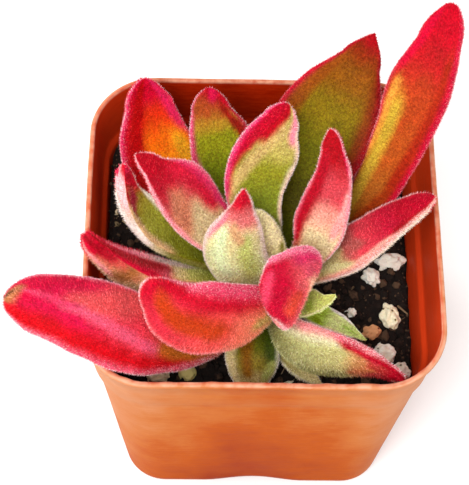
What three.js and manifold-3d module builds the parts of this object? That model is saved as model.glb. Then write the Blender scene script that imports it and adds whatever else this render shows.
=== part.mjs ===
// A velvet-leaved echeveria, a small succulent with red-edged leaves, growing in a square plastic
// nursery pot. Every leaf is a separate solid that stands just clear of one short stem. The stem
// stands in a hole in the potting mix, and loose grains of perlite and bark lie in its surface.
// Units are millimetres, +Z is up, and the origin is the centre of the pot's underside.

import * as THREE from 'three';
import Module from 'manifold-3d';
import { mergeVertices } from 'three/addons/utils/BufferGeometryUtils.js';

const wasm = await Module();
wasm.setup();

// Driving dimensions
const GAP = 0.3; // clearance between pieces that touch on the real plant
const POT_TOP = 57; // outside width of the square rim
const POT_BASE = 46; // outside width of the square base
const POT_HEIGHT = 54;
const WALL = 0.9;
const FLOOR = 1.2;
const RIM_CORNER = 10.9;
const BASE_CORNER = 7.2;
const LIP_HEIGHT = 1.1;
const LIP_OUT = 0.55; // how far the lip stands out from the collar
const COLLAR_HEIGHT = 10; // the upper band of the wall, above the inner ledge
const COLLAR_STEP = 0.7;
const DRAIN_RADIUS = 2.6;
const DRAIN_OFFSET = 12.5;
const ARCH_HEIGHT = 2;
const ARCH_HALF = 8.5; // half the width of the raised arch in each side of the base
const ARCH_DEPTH = 7;

const SOIL_LEVEL = 39.5;
const STEM_FOOT = [1.6, -6.2];
const STEM_HEAD = [1.2, -8.2];
const STEM_TOP = 54.8;
const STEM_RADIUS = [2.8, 1.7];
const STEM_SUNK = 7;

const LEAF_SIDES = 12;

const rad = (degrees) => (degrees * Math.PI) / 180;
const mix = (a, b, t) => a + (b - a) * t;
const clamp = (x, low, high) => Math.min(high, Math.max(low, x));

// Solids

// A closed geometry as a solid that can be joined and cut.
function solid(geometry) {
  const bare = geometry.clone();
  for (const name of Object.keys(bare.attributes)) {
    if (name !== 'position') bare.deleteAttribute(name);
  }
  const merged = mergeVertices(bare, 1e-4);
  return new wasm.Manifold(
    new wasm.Mesh({
      numProp: 3,
      vertProperties: new Float32Array(merged.attributes.position.array),
      triVerts: new Uint32Array(merged.index.array),
    }),
  );
}

function geometryOf(manifold) {
  const mesh = manifold.getMesh();
  const positions = new Float32Array(mesh.numVert * 3);
  for (let i = 0; i < mesh.numVert; i += 1) {
    const from = i * mesh.numProp;
    positions.set(mesh.vertProperties.subarray(from, from + 3), i * 3);
  }
  const geometry = new THREE.BufferGeometry();
  geometry.setAttribute('position', new THREE.BufferAttribute(positions, 3));
  geometry.setIndex(new THREE.BufferAttribute(new Uint32Array(mesh.triVerts), 1));
  return geometry;
}

// The largest body of a solid, without the scraps that a cut may leave.
function largest(manifold) {
  return manifold.decompose().sort((a, b) => b.volume() - a.volume())[0];
}

// A closed skin over rings of points, each ring counterclockwise seen from its far end. A ring of
// one point closes an end to a tip, and a wider one is closed flat.
function loft(rings) {
  const positions = [];
  const index = [];
  const starts = rings.map((ring) => {
    const start = positions.length / 3;
    ring.forEach((point) => positions.push(...point));
    return start;
  });
  for (let i = 0; i + 1 < rings.length; i += 1) {
    const sides = Math.max(rings[i].length, rings[i + 1].length);
    for (let k = 0; k < sides; k += 1) {
      const next = (k + 1) % sides;
      const a = starts[i] + (rings[i].length === 1 ? 0 : k);
      const b = starts[i] + (rings[i].length === 1 ? 0 : next);
      const c = starts[i + 1] + (rings[i + 1].length === 1 ? 0 : next);
      const d = starts[i + 1] + (rings[i + 1].length === 1 ? 0 : k);
      if (a !== b) index.push(a, b, c);
      if (c !== d) index.push(a, c, d);
    }
  }
  const cap = (ring, start, flip) => {
    if (ring.length === 1) return;
    const centre = ring.reduce((sum, p) => sum.map((x, j) => x + p[j] / ring.length), [0, 0, 0]);
    const hub = positions.length / 3;
    positions.push(...centre);
    for (let k = 0; k < ring.length; k += 1) {
      const a = start + k;
      const b = start + ((k + 1) % ring.length);
      if (flip) index.push(hub, b, a);
      else index.push(hub, a, b);
    }
  };
  cap(rings[0], starts[0], true);
  cap(rings.at(-1), starts.at(-1), false);
  const geometry = new THREE.BufferGeometry();
  geometry.setAttribute('position', new THREE.Float32BufferAttribute(positions, 3));
  geometry.setIndex(index);
  return geometry;
}

const group = new THREE.Group();
group.name = 'potted_echeveria';

function place(name, manifold, material) {
  const mesh = new THREE.Mesh(geometryOf(manifold), material);
  mesh.name = name;
  group.add(mesh);
}

// Materials
const terracottaPlastic = new THREE.MeshStandardMaterial({ color: 0xd0633c, roughness: 0.42 });
const pottingMix = new THREE.MeshStandardMaterial({ color: 0x1d120c, roughness: 0.95 });
const perlite = new THREE.MeshStandardMaterial({ color: 0xe6dcc4, roughness: 0.9 });
const bark = new THREE.MeshStandardMaterial({ color: 0x9a5c34, roughness: 0.9 });
const stemSkin = new THREE.MeshStandardMaterial({ color: 0x7f9440, roughness: 0.7 });
const redLeaf = new THREE.MeshStandardMaterial({ color: 0xd02040, roughness: 0.75 });
const greenLeaf = new THREE.MeshStandardMaterial({ color: 0xa9b56a, roughness: 0.75 });
const sproutLeaf = new THREE.MeshStandardMaterial({ color: 0x9ac052, roughness: 0.6 });

// Pot: one thin moulded shell with a lip, a stepped collar, a tapered body and an arched base

const CORNER_STEPS = 6;

// A square with round corners at one height, counterclockwise seen from above.
function roundSquare(width, corner, z) {
  const reach = width / 2 - corner;
  const quarters = [
    [1, -1],
    [1, 1],
    [-1, 1],
    [-1, -1],
  ];
  return quarters.flatMap(([sx, sy], quarter) =>
    Array.from({ length: CORNER_STEPS + 1 }, (_, i) => {
      const angle = rad(90) * (quarter - 1 + i / CORNER_STEPS);
      const x = sx * reach + corner * Math.cos(angle);
      const y = sy * reach + corner * Math.sin(angle);
      return [x, y, z];
    }),
  );
}

// The body's outside width and corner radius at a height, below the collar.
const bodyTop = POT_HEIGHT - COLLAR_HEIGHT;
const bodyTopWidth = POT_TOP - 2 * (LIP_OUT + COLLAR_STEP + 0.6);
const bodyWidth = (z) => mix(POT_BASE, bodyTopWidth, clamp(z / bodyTop, 0, 1));
const bodyCorner = (z) => mix(BASE_CORNER, RIM_CORNER - 1.6, clamp(z / bodyTop, 0, 1));

// The inside width of the body at a height.
const cavityWidth = (z) => bodyWidth(z) - 2 * WALL;

function potShell() {
  const collarWidth = POT_TOP - 2 * LIP_OUT;
  const outside = [
    roundSquare(POT_BASE - 2, BASE_CORNER - 1, 0),
    roundSquare(bodyWidth(0.9), bodyCorner(0.9), 0.9),
    roundSquare(bodyTopWidth, bodyCorner(bodyTop), bodyTop - 1),
    roundSquare(collarWidth - 0.9, RIM_CORNER - 1, bodyTop),
    roundSquare(collarWidth, RIM_CORNER - 0.5, POT_HEIGHT - LIP_HEIGHT),
    roundSquare(POT_TOP, RIM_CORNER, POT_HEIGHT - LIP_HEIGHT),
    roundSquare(POT_TOP, RIM_CORNER, POT_HEIGHT),
  ];
  const inside = [
    roundSquare(POT_TOP - 2.4, RIM_CORNER - 1.2, POT_HEIGHT),
    roundSquare(collarWidth - 0.9 - 2 * WALL, RIM_CORNER - 1.9, bodyTop + 0.5),
    roundSquare(cavityWidth(bodyTop), bodyCorner(bodyTop) - WALL, bodyTop - 0.2),
    roundSquare(cavityWidth(FLOOR), bodyCorner(FLOOR) - WALL, FLOOR),
  ];
  return solid(loft([...outside, ...inside]));
}

// The raised arch in one side of the base, as a block with a half-round roof.
function archBlock(quarter, grow) {
  const half = ARCH_HALF + grow;
  const roof = new THREE.Shape();
  roof.moveTo(-half, -5);
  roof.lineTo(half, -5);
  roof.lineTo(half, 0);
  roof.bezierCurveTo(half * 0.6, 0, half * 0.7, ARCH_HEIGHT + grow, 0, ARCH_HEIGHT + grow);
  roof.bezierCurveTo(-half * 0.7, ARCH_HEIGHT + grow, -half * 0.6, 0, -half, 0);
  const depth = ARCH_DEPTH + grow + 5;
  const block = new THREE.ExtrudeGeometry(roof, { depth, bevelEnabled: false, curveSegments: 6 });
  block.rotateX(rad(90));
  block.translate(0, -(POT_BASE / 2 - ARCH_DEPTH - grow), 0);
  block.rotateZ(rad(90 * quarter));
  return solid(block);
}

function drain(sx, sy) {
  const hole = new THREE.CylinderGeometry(DRAIN_RADIUS, DRAIN_RADIUS, 6, 16);
  hole.rotateX(rad(90));
  hole.translate(sx * DRAIN_OFFSET, sy * DRAIN_OFFSET, 0);
  return solid(hole);
}

const quarters = [0, 1, 2, 3];
const potEnvelope = solid(
  loft([
    roundSquare(POT_BASE - 2, BASE_CORNER - 1, 0),
    roundSquare(bodyWidth(0.9), bodyCorner(0.9), 0.9),
    roundSquare(bodyTopWidth, bodyCorner(bodyTop), bodyTop - 1),
  ]),
);
let pot = potShell();
for (const quarter of quarters) {
  pot = pot.add(archBlock(quarter, FLOOR).intersect(potEnvelope));
}
for (const quarter of quarters) {
  pot = pot.subtract(archBlock(quarter, 0));
}
for (const sx of [-1, 1]) {
  for (const sy of [-1, 1]) pot = pot.subtract(drain(sx, sy));
}
place('pot', pot, terracottaPlastic);

// Stem: a short round stalk, leaning a little, with its foot sunk in the potting mix

// The stem's centre and radius at a height.
function stemAt(z) {
  const t = clamp((z - SOIL_LEVEL) / (STEM_TOP - SOIL_LEVEL), -1, 1);
  return {
    x: mix(STEM_FOOT[0], STEM_HEAD[0], t),
    y: mix(STEM_FOOT[1], STEM_HEAD[1], t),
    radius: mix(STEM_RADIUS[0], STEM_RADIUS[1], Math.max(0, t)),
  };
}

function stemRings(grow) {
  const foot = SOIL_LEVEL - STEM_SUNK - grow;
  const heights = [foot, SOIL_LEVEL, 45, 50, STEM_TOP - 0.6, STEM_TOP + grow];
  return heights.map((z, i) => {
    const at = stemAt(z);
    const radius = (i === heights.length - 1 ? at.radius * 0.5 : at.radius) + grow;
    return Array.from({ length: 12 }, (_, k) => {
      const angle = rad(30 * k);
      return [at.x + radius * Math.cos(angle), at.y + radius * Math.sin(angle), z];
    });
  });
}

const stem = solid(loft(stemRings(0)));
place('stem', stem, stemSkin);

// Potting mix: a block that fills the pot to a rough top, higher on the left

// The height of the mix's surface at a place.
function soilHeight(x, y) {
  const slope = 40.2 - 0.11 * x + 0.02 * y;
  const lumps = 0.45 * Math.sin(0.9 * x + 0.6) * Math.cos(0.8 * y) + 0.4 * Math.sin(1.7 * x - 1.3 * y);
  return slope + lumps;
}

function soilBlock() {
  const fill = cavityWidth(FLOOR) - 2 * GAP;
  const brim = cavityWidth(36) - 2 * GAP - 0.3;
  const corner = bodyCorner(36) - WALL - GAP;
  const top = [1, 0.9, 0.78, 0.66, 0.52, 0.38, 0.24, 0.1].map((share) =>
    roundSquare(brim, corner, 0).map(([x, y]) => {
      const edge = share === 1 ? -0.5 : 0;
      return [x * share, y * share, soilHeight(x * share, y * share) + edge];
    }),
  );
  return solid(
    loft([
      roundSquare(fill, bodyCorner(FLOOR) - WALL - GAP, FLOOR + GAP),
      roundSquare(brim, corner, 36),
      ...top,
    ]),
  );
}

// Grains lie in the surface: perlite, bark and pebbles. Each has a place, its reach along X, Y and
// Z, and a turn about the vertical in degrees.
const grains = {
  perlite_pair_left: { at: [20.3, -15.2], size: [2.4, 1.9, 1.6], turn: 20, material: perlite },
  perlite_pair_right: { at: [22.9, -18.3], size: [1.7, 1.9, 1.5], turn: -20, material: perlite },
  perlite_back: { at: [22.3, 2.2], size: [2.5, 1.6, 1.4], turn: 15, material: perlite },
  perlite_back_small: { at: [18.8, -1], size: [1.4, 1.6, 1.3], turn: 40, material: perlite },
  perlite_yellow: { at: [21.8, -8.2], size: [1.6, 2.2, 1.4], turn: 10, material: perlite },
  perlite_small: { at: [15.2, -8], size: [1, 0.9, 0.9], turn: 0, material: perlite },
  bark_chip: { at: [18.4, -11.6], size: [1.7, 1.2, 1], turn: 30, material: bark },
  pebble_left: { at: [-16.6, -21.2], size: [2, 1.1, 1.1], turn: 5, material: bark },
  pebble_round: { at: [-11.9, -20.2], size: [1.5, 1.5, 1.5], turn: 0, material: perlite },
  perlite_front: { at: [4.6, -21.6], size: [1.2, 1, 0.9], turn: 0, material: perlite },
};

function grainBody(grain, grow) {
  const [x, y] = grain.at;
  const ball = new THREE.IcosahedronGeometry(1, 1);
  const place = ball.attributes.position;
  for (let i = 0; i < place.count; i += 1) {
    const p = new THREE.Vector3().fromBufferAttribute(place, i);
    const knobs = Math.sin(5.1 * p.x + x) * Math.sin(4.3 * p.y + y) * Math.sin(4.7 * p.z + 1);
    p.multiplyScalar(1 + 0.22 * knobs);
    place.setXYZ(i, p.x, p.y, p.z);
  }
  ball.scale(grain.size[0] + grow, grain.size[1] + grow, grain.size[2] + grow);
  ball.rotateZ(rad(grain.turn));
  ball.translate(x, y, soilHeight(x, y) + 0.25 * grain.size[2]);
  return solid(ball);
}

let soil = soilBlock();
for (const quarter of quarters) soil = soil.subtract(archBlock(quarter, FLOOR + GAP));
soil = soil.subtract(solid(loft(stemRings(GAP))));
for (const grain of Object.values(grains)) soil = soil.subtract(grainBody(grain, GAP));
place('potting_mix', largest(soil), pottingMix);
for (const [name, grain] of Object.entries(grains)) {
  place(name, grainBody(grain, 0), grain.material);
}

// Leaves: each spine starts at the stem and runs through points in space. The blade is plump below
// and flatter above, and most are cupped.
//
// side      compass direction in which the leaf leaves the stem, 0 along +X and 90 along +Y
// root      height of that place
// path      points that the spine passes, the last one the tip
// faces     direction in which the upper face looks
// left      half widths on the left of the spine at widthPlaces, seen along it with the face up
// right     the same on the right
// thick     thickest, through the blade
// point     1 gives a pointed tip, 0.5 a round one
// cup       lift of both margins as a share of half the width
// keel      0 gives a round underside, 1 one with a sharp ridge
// skin      the leaf's main colour, green where none is given
// blunt     true where the end is so broad and short that its rings cross
const leaves = {
  heart: { side: 250, root: 53.2, path: [[-4.9, -9.2, 61], [-3.6, -3.6, 71]], faces: [0.1, 0.9, -0.5],
    left: [2.4, 4.4, 5.1, 5, 4.1, 2.5], right: [2.4, 4.1, 5, 4.2, 2.4, 1],
    thick: 5, point: 0.9, cup: 0.25, keel: 0.4 },
  heart_back: { side: 340, root: 53.2, path: [[0.8, -5.2, 58.5], [-1.5, -3.2, 64]], faces: [-0.8, 0.5, 0],
    left: [1.4, 1.9, 2.4, 2.5, 2.1, 1.4], right: [1.4, 1.9, 2.4, 2.5, 2.1, 1.4],
    thick: 3.2, point: 0.6, cup: 0.3, keel: 0.2 },
  inner_front_right: { side: 310, root: 50, path: [[4.4, -11.7, 57.6], [4, -15.2, 62.3], [-1, -16.5, 63.1]],
    faces: [-0.23, 0.63, -0.47],
    left: [1.4, 2.2, 3.6, 6.1, 6.5, 5.8], right: [1.4, 1.6, 4.5, 7, 7.8, 5.4],
    thick: 4, point: 0.5, cup: 0.1, keel: 0, skin: redLeaf, blunt: true },
  inner_left: { side: 145, root: 53, path: [[-12, -1.5, 62], [-20.2, 4.8, 67]], faces: [0.65, -0.45, 0.6],
    left: [1.8, 3.3, 4.6, 4.6, 3.3, 1.6], right: [1.8, 3.3, 4.7, 6.4, 5.8, 3.1],
    thick: 4.6, point: 0.65, cup: 0.25, keel: 0.3 },
  inner_back: { side: 85, root: 53, path: [[-1.2, -0.4, 61.5], [-0.4, 4.8, 68], [3.2, 11.2, 72]],
    faces: [0, -0.8, 0.6],
    left: [1.7, 3.4, 5, 5.4, 4.5, 2.9], right: [1.7, 3.4, 4, 5.2, 5.3, 3.8],
    thick: 4.8, point: 0.6, cup: 0.25, keel: 0.3 },
  inner_right: { side: 45, root: 52.5, path: [[7.9, -5.3, 58], [10.4, 1.4, 66], [9.6, 7.3, 71]],
    faces: [-0.4, -0.7, 0.6],
    left: [1.6, 3, 4.8, 4.3, 3.1, 2.4], right: [1.6, 3, 4.1, 3.7, 3.1, 1.8],
    thick: 4.2, point: 0.6, cup: 0.3, keel: 0.3 },
  front_left: { side: 225, root: 49, path: [[-4, -17.5, 55.8], [-12.2, -19.5, 60], [-16.7, -15.6, 64.9]],
    faces: [0, 0.95, -0.16],
    left: [3.7, 4.6, 8.1, 9.2, 8.4, 5.7], right: [3.7, 4.7, 7.2, 7.7, 6.7, 3.8],
    thick: 6, point: 0.49, cup: 0.15, keel: 0, skin: redLeaf, blunt: true },
  left_upper: { side: 160, root: 50, path: [[-15.2, -1, 53.5], [-21, 1.7, 57.4], [-22.3, 6.2, 61.8]],
    faces: [0.85, -0.2, 0.4],
    left: [1.4, 3, 4.6, 4.5, 2.6, 1], right: [1.4, 3, 4.2, 4.2, 3.8, 2.8],
    thick: 5, point: 0.6, cup: 0.4, keel: 0.3 },
  left: { side: 185, root: 48, path: [[-18, -7, 51.2], [-28, -4.9, 59.4]], faces: [0.1, 0.65, 0.75],
    left: [1.7, 2.9, 5.2, 5.8, 4.1, 1.9], right: [1.7, 2.9, 4, 4.4, 4, 2.8],
    thick: 6.2, point: 0.6, cup: 0.2, keel: 0.3 },
  far_left: { side: 215, root: 45, path: [[-11.5, -16.2, 45.5], [-18.6, -19.3, 53.2], [-27.4, -19.2, 59.2], [-39.5, -18, 61.5]],
    faces: [0.1, 0.1, -1],
    left: [2.5, 4.4, 6.3, 6.8, 6.4, 5.6], right: [2.5, 4.4, 5.7, 7.4, 6.6, 4.9],
    thick: 6.4, point: 0.5, cup: 0, keel: 0.7, skin: redLeaf },
  back_left: { side: 125, root: 47, path: [[-14.6, 9.4, 50.6], [-19.5, 23.3, 61]], faces: [0.46, -0.66, 0.6],
    left: [2.2, 4.2, 6.3, 7.2, 6.5, 4.2], right: [2.2, 4.2, 6.3, 7.2, 6.2, 5],
    thick: 5, point: 0.6, cup: 0.35, keel: 0.3 },
  back: { side: 112, root: 50, path: [[-5, 8, 55.5], [-9, 22, 60.5]], faces: [0.2, -0.8, 0.6],
    left: [1.8, 3.4, 5.2, 5.9, 5.2, 3.9], right: [1.8, 3.4, 5.2, 5.8, 4.9, 2.9],
    thick: 4.4, point: 0.65, cup: 0.2, keel: 0.3 },
  back_broad: { side: 62, root: 47.5, path: [[7, 8, 60], [17.2, 25, 72]], faces: [-0.2, -0.8, 0.6],
    left: [2, 4.5, 7.1, 8.5, 6.6, 3.3], right: [2, 4.5, 7.1, 8.1, 7, 4.1],
    thick: 5, point: 1.05, cup: 0.2, keel: 0.3 },
  back_right_long: { side: 25, root: 45, path: [[13.4, 1.1, 52], [21.6, 9.9, 66.8], [28.3, 24.9, 80]],
    faces: [-0.5, -0.6, 0.6],
    left: [1.4, 2.6, 3.6, 4.9, 6, 4.1], right: [1.4, 2.6, 4.3, 4.9, 5, 3.9],
    thick: 5, point: 0.5, cup: 0.15, keel: 0.3 },
  right: { side: 5, root: 48.5, path: [[15, -5.2, 57.5], [26.4, 0.4, 63]], faces: [-0.4, 0.1, 0.9],
    left: [1.7, 3.1, 4.4, 4.4, 4, 3.1], right: [1.7, 3.1, 4.4, 3.6, 2.6, 1.9],
    thick: 5, point: 0.5, cup: 0.15, keel: 0.4 },
  front_right: { side: 300, root: 46, path: [[6, -18.6, 49], [12.9, -20.9, 50], [22.3, -24.2, 48]],
    faces: [0.1, 1, -0.2],
    left: [2.3, 4.4, 5.8, 5.6, 4.2, 2.6], right: [2.3, 4.4, 5.8, 4.4, 2.6, 1.6],
    thick: 5, point: 0.7, cup: 0.15, keel: 0.3 },
  front_low: { side: 265, root: 44, path: [[-1.4, -17.2, 44.9], [-1, -24.2, 40.9]], faces: [0, 0.5, 0.9],
    left: [1.6, 2.9, 4.2, 4.6, 4.1, 3], right: [1.6, 2.9, 4.2, 4.5, 3.9, 2.8],
    thick: 4.4, point: 0.5, cup: 0.2, keel: 0.3 },
  front_right_low: { side: 290, root: 43, path: [[5.2, -18, 42.4], [9.7, -22.4, 42]], faces: [0, 0.3, 0.9],
    left: [1.4, 2.1, 2.7, 2.6, 2, 1.2], right: [1.4, 2.1, 2.7, 2.6, 2, 1.2],
    thick: 2.4, point: 0.7, cup: 0.2, keel: 0.2 },
  sprout_upper: { side: 340, root: 47, path: [[6.9, -14.2, 53.6], [11, -14.1, 57.2]], faces: [-0.5, 0.3, 0.8],
    left: [1.2, 2.1, 3, 3.1, 2.5, 1.5], right: [1.2, 2.1, 3, 3.1, 2.5, 1.5],
    thick: 2, point: 0.7, cup: 0.3, keel: 0.2, skin: sproutLeaf },
  sprout_right: { side: 330, root: 44, path: [[11, -12.9, 46], [16.9, -15.8, 44.6]], faces: [-0.2, 0.4, 0.9],
    left: [1.2, 2, 2.6, 2.5, 2, 1.2], right: [1.2, 2, 2.6, 2.5, 2, 1.2],
    thick: 2, point: 0.7, cup: 0.2, keel: 0.2, skin: sproutLeaf },
};

const ringPlaces = [0, 0.06, 0.14, 0.25, 0.37, 0.5, 0.62, 0.73, 0.83, 0.91, 0.96, 0.988, 1];
const widthPlaces = [0, 0.2, 0.4, 0.6, 0.75, 0.88];

// The smooth curve through a leaf's root and its path, as a list of close points.
function spineOf(leaf) {
  const at = stemAt(leaf.root);
  const angle = rad(leaf.side);
  const away = at.radius + GAP;
  const root = [at.x + away * Math.cos(angle), at.y + away * Math.sin(angle), leaf.root];
  const points = [root, ...leaf.path];
  const last = points.length - 1;
  return Array.from({ length: 81 }, (_, i) => {
    const t = (i / 80) * last;
    const point = new THREE.Vector3();
    points.forEach((p, k) => {
      let weight = 1;
      for (let j = 0; j <= last; j += 1) if (j !== k) weight *= (t - j) / (k - j);
      point.addScaledVector(new THREE.Vector3(...p), weight);
    });
    return point;
  });
}

// The half width at a place along a blade: a smooth curve through the given ones, then round the tip.
function halfWidth(widths, s, point) {
  const last = widthPlaces.length - 1;
  if (s >= widthPlaces[last]) {
    const t = (s - widthPlaces[last]) / (1 - widthPlaces[last]);
    return widths[last] * Math.max(0, 1 - t ** 1.6) ** point;
  }
  const slope = (k) => {
    const [a, b] = [Math.max(0, k - 1), Math.min(last, k + 1)];
    return (widths[b] - widths[a]) / (widthPlaces[b] - widthPlaces[a]);
  };
  const i = widthPlaces.findLastIndex((w) => w <= s);
  const span = widthPlaces[i + 1] - widthPlaces[i];
  const t = (s - widthPlaces[i]) / span;
  return widths[i] * (1 + 2 * t) * (1 - t) ** 2 + slope(i) * span * t * (1 - t) ** 2
    + widths[i + 1] * t * t * (3 - 2 * t) - slope(i + 1) * span * t * t * (1 - t);
}

// The rings of one leaf, all of it larger by `grow` on every side.
function leafRings(leaf, grow) {
  const spine = spineOf(leaf);
  const lengths = [0];
  for (let i = 1; i < spine.length; i += 1) {
    lengths.push(lengths[i - 1] + spine[i].distanceTo(spine[i - 1]));
  }
  const whole = lengths.at(-1);
  const facing = new THREE.Vector3(...leaf.faces);
  const widest = Math.max(...leaf.left.map((w, k) => w + leaf.right[k]));
  return ringPlaces.map((s) => {
    const target = s * whole;
    const i = clamp(lengths.findIndex((l) => l >= target - 1e-9), 1, spine.length - 1);
    const between = (target - lengths[i - 1]) / (lengths[i] - lengths[i - 1]);
    const centre = spine[i - 1].clone().lerp(spine[i], between);
    const along = spine[i].clone().sub(spine[i - 1]).normalize();
    if (s === 1) return [centre.addScaledVector(along, grow).toArray()];
    const face = facing.clone().addScaledVector(along, -facing.dot(along)).normalize();
    const across = along.clone().cross(face);
    if (s === 0) centre.addScaledVector(along, -grow);
    const [left, right] = [leaf.left, leaf.right].map((widths) => halfWidth(widths, s, leaf.point));
    const depth = leaf.thick * ((left + right) / widest) ** 0.65;
    const lift = leaf.cup * ((left + right) / 2 + grow);
    return Array.from({ length: LEAF_SIDES }, (_, k) => {
      const angle = rad((360 / LEAF_SIDES) * k);
      const v = Math.cos(angle);
      const h = -Math.sin(angle);
      const belly = mix(Math.abs(h), 1 - Math.abs(v), leaf.keel);
      const rise = h > 0 ? (0.38 * depth + grow) * h : -(0.62 * depth + grow) * belly;
      const point = centre.clone().addScaledVector(across, ((v > 0 ? right : left) + grow) * v);
      point.addScaledVector(face, rise + lift * (v * v - 0.5));
      return point.toArray();
    });
  });
}

// One leaf, all of it larger by `grow`. A blunt one is joined from the hulls of neighbouring rings,
// which leaves no folds where they cross.
function leafBody(leaf, grow) {
  const rings = leafRings(leaf, grow);
  if (!leaf.blunt) return solid(loft(rings));
  return wasm.Manifold.union(rings.slice(1).map((ring, i) => wasm.Manifold.hull([...rings[i], ...ring])));
}

// The leaves are made from the heart outward, and each gives way to the stem and to those before.
const taken = [solid(loft(stemRings(GAP)))];
for (const [name, leaf] of Object.entries(leaves)) {
  let blade = leafBody(leaf, 0);
  for (const other of taken) blade = blade.subtract(other);
  place(`leaf_${name}`, largest(blade), leaf.skin ?? greenLeaf);
  taken.push(leafBody(leaf, GAP + 0.1));
}

export default group;
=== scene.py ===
import math

import bmesh
import bpy
import numpy as np
from mathutils import Matrix, Vector, noise


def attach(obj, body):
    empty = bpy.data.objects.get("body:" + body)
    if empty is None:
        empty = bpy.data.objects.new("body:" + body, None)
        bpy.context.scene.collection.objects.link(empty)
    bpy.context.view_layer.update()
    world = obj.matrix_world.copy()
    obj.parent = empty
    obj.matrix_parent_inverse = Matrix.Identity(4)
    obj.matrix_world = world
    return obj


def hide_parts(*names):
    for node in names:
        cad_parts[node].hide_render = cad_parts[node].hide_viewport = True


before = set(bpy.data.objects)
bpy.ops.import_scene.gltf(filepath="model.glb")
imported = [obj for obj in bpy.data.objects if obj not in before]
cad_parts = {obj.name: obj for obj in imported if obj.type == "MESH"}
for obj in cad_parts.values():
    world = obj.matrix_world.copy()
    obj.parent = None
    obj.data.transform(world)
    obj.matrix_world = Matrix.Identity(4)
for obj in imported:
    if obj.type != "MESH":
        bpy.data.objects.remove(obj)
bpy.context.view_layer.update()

MM = 0.001

# Camera: stands in front of the pot and looks down on it from about sixty degrees, as the
# photograph was taken, with a long lens, a slight turn to the left and a slight tilt.
RIM_HEIGHT = 54.0
LOOK_DOWN, LOOK_ROUND, TILT = 60.7, -2.6, 3.0
DISTANCE, FOCAL_PIXELS = 257.0, 1603.0
FRAME_WIDE, FRAME_HIGH, SENSOR = 469.0, 485.0, 36.0
RIM_AT = (263.2, 224.8)


def photo_camera():
    down, turn, tilt = (math.radians(x) for x in (LOOK_DOWN, LOOK_ROUND, TILT))
    flat = math.cos(down)
    back = Vector((math.sin(turn) * flat, -math.cos(turn) * flat, math.sin(down)))
    level = Vector((math.cos(turn), math.sin(turn), 0.0))
    upright = back.cross(level)
    right = level * math.cos(tilt) + upright * math.sin(tilt)
    up = upright * math.cos(tilt) - level * math.sin(tilt)
    beside = (RIM_AT[0] - FRAME_WIDE / 2) / FOCAL_PIXELS * DISTANCE
    above = (RIM_AT[1] - FRAME_HIGH / 2) / FOCAL_PIXELS * DISTANCE
    place = Vector((0, 0, RIM_HEIGHT)) + back * DISTANCE - right * beside + up * above
    data = bpy.data.cameras.new("photo_camera")
    data.sensor_width = SENSOR
    data.sensor_fit = "AUTO"
    data.lens = FOCAL_PIXELS * SENSOR / FRAME_HIGH
    data.clip_start, data.clip_end = 0.01, 20.0
    camera = bpy.data.objects.new("photo_camera", data)
    axes = Matrix((right, up, back)).transposed().to_4x4()
    camera.matrix_world = Matrix.Translation(place * MM) @ axes
    bpy.context.scene.collection.objects.link(camera)
    bpy.context.scene.camera = camera


photo_camera()

# Pot: one thin square shell of terracotta-coloured plastic, moulded in one shot, with a lip round
# its rim, a collar that steps in to the ledge inside, a tapered body, and a floor with four drain
# holes that is arched in the middle of each side. Thin ragged flash is left along the parting line
# below its lip, and a burr along the inner edge of the rim.
RIM_WIDTH, BASE_WIDTH = 57.0, 46.0
RIM_CORNER, BASE_CORNER = 10.9, 7.2
WALL, FLOOR = 0.9, 1.2
LIP_HEIGHT, LIP_OUT = 1.1, 0.55
COLLAR_HEIGHT, COLLAR_STEP, BODY_STEP = 10.0, 0.7, 0.6
DRAIN_RADIUS, DRAIN_OFFSET, DRILL_LENGTH = 2.6, 12.5, 6.0
ARCH_HEIGHT, ARCH_HALF, ARCH_DEPTH = 2.0, 8.5, 7.0
LEDGE, LIP_FOOT = RIM_HEIGHT - COLLAR_HEIGHT, RIM_HEIGHT - LIP_HEIGHT
BODY_TOP_WIDTH = RIM_WIDTH - 2 * (LIP_OUT + COLLAR_STEP + BODY_STEP)
PARTING_LINE = LIP_FOOT + 0.06
BOW, RIPPLE = 0.064, 0.12
FLASH, FLASH_BEHIND = 0.28, 0.1
BURR, BURR_BEHIND = 0.3, 0.12
CORNER_STEPS, SIDE_STEPS = 14, 26


def mix(a, b, t):
    return a + (b - a) * t


def clamp(x, low=0.0, high=1.0):
    return min(high, max(low, x))


def smooth(low, high, x):
    t = clamp((x - low) / (high - low))
    return t * t * (3 - 2 * t)


def body_width(z):
    return mix(BASE_WIDTH, BODY_TOP_WIDTH, clamp(z / LEDGE))


def body_corner(z):
    return mix(BASE_CORNER, RIM_CORNER - 1.6, clamp(z / LEDGE))


def round_square(width, corner, corner_steps, side_steps):
    """Points round a square with round corners, counterclockwise seen from above."""
    reach = width / 2 - corner
    quarter_turn = math.radians(90)

    def corner_point(quarter, angle):
        sx, sy = ((1, -1), (1, 1), (-1, 1), (-1, -1))[quarter % 4]
        return sx * reach + corner * math.cos(angle), sy * reach + corner * math.sin(angle)

    points = []
    for quarter in range(4):
        for i in range(corner_steps + 1):
            points.append(corner_point(quarter, quarter_turn * (quarter - 1 + i / corner_steps)))
        last, first = points[-1], corner_point(quarter + 1, quarter_turn * quarter)
        for i in range(1, side_steps):
            points.append(tuple(mix(a, b, i / side_steps) for a, b in zip(last, first)))
    return points


def arch_lift(x, y, reach):
    """How far the middle of each side of the base is raised at a place."""
    lift = 0.0
    for along, across in ((x, abs(y)), (y, abs(x))):
        hump = 0.5 + 0.5 * math.cos(math.pi * clamp(abs(along) / ARCH_HALF))
        near_side = smooth(reach - ARCH_DEPTH - 1, reach - ARCH_DEPTH + 1.5, across)
        lift = max(lift, ARCH_HEIGHT * hump ** 0.8 * near_side)
    return lift


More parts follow.
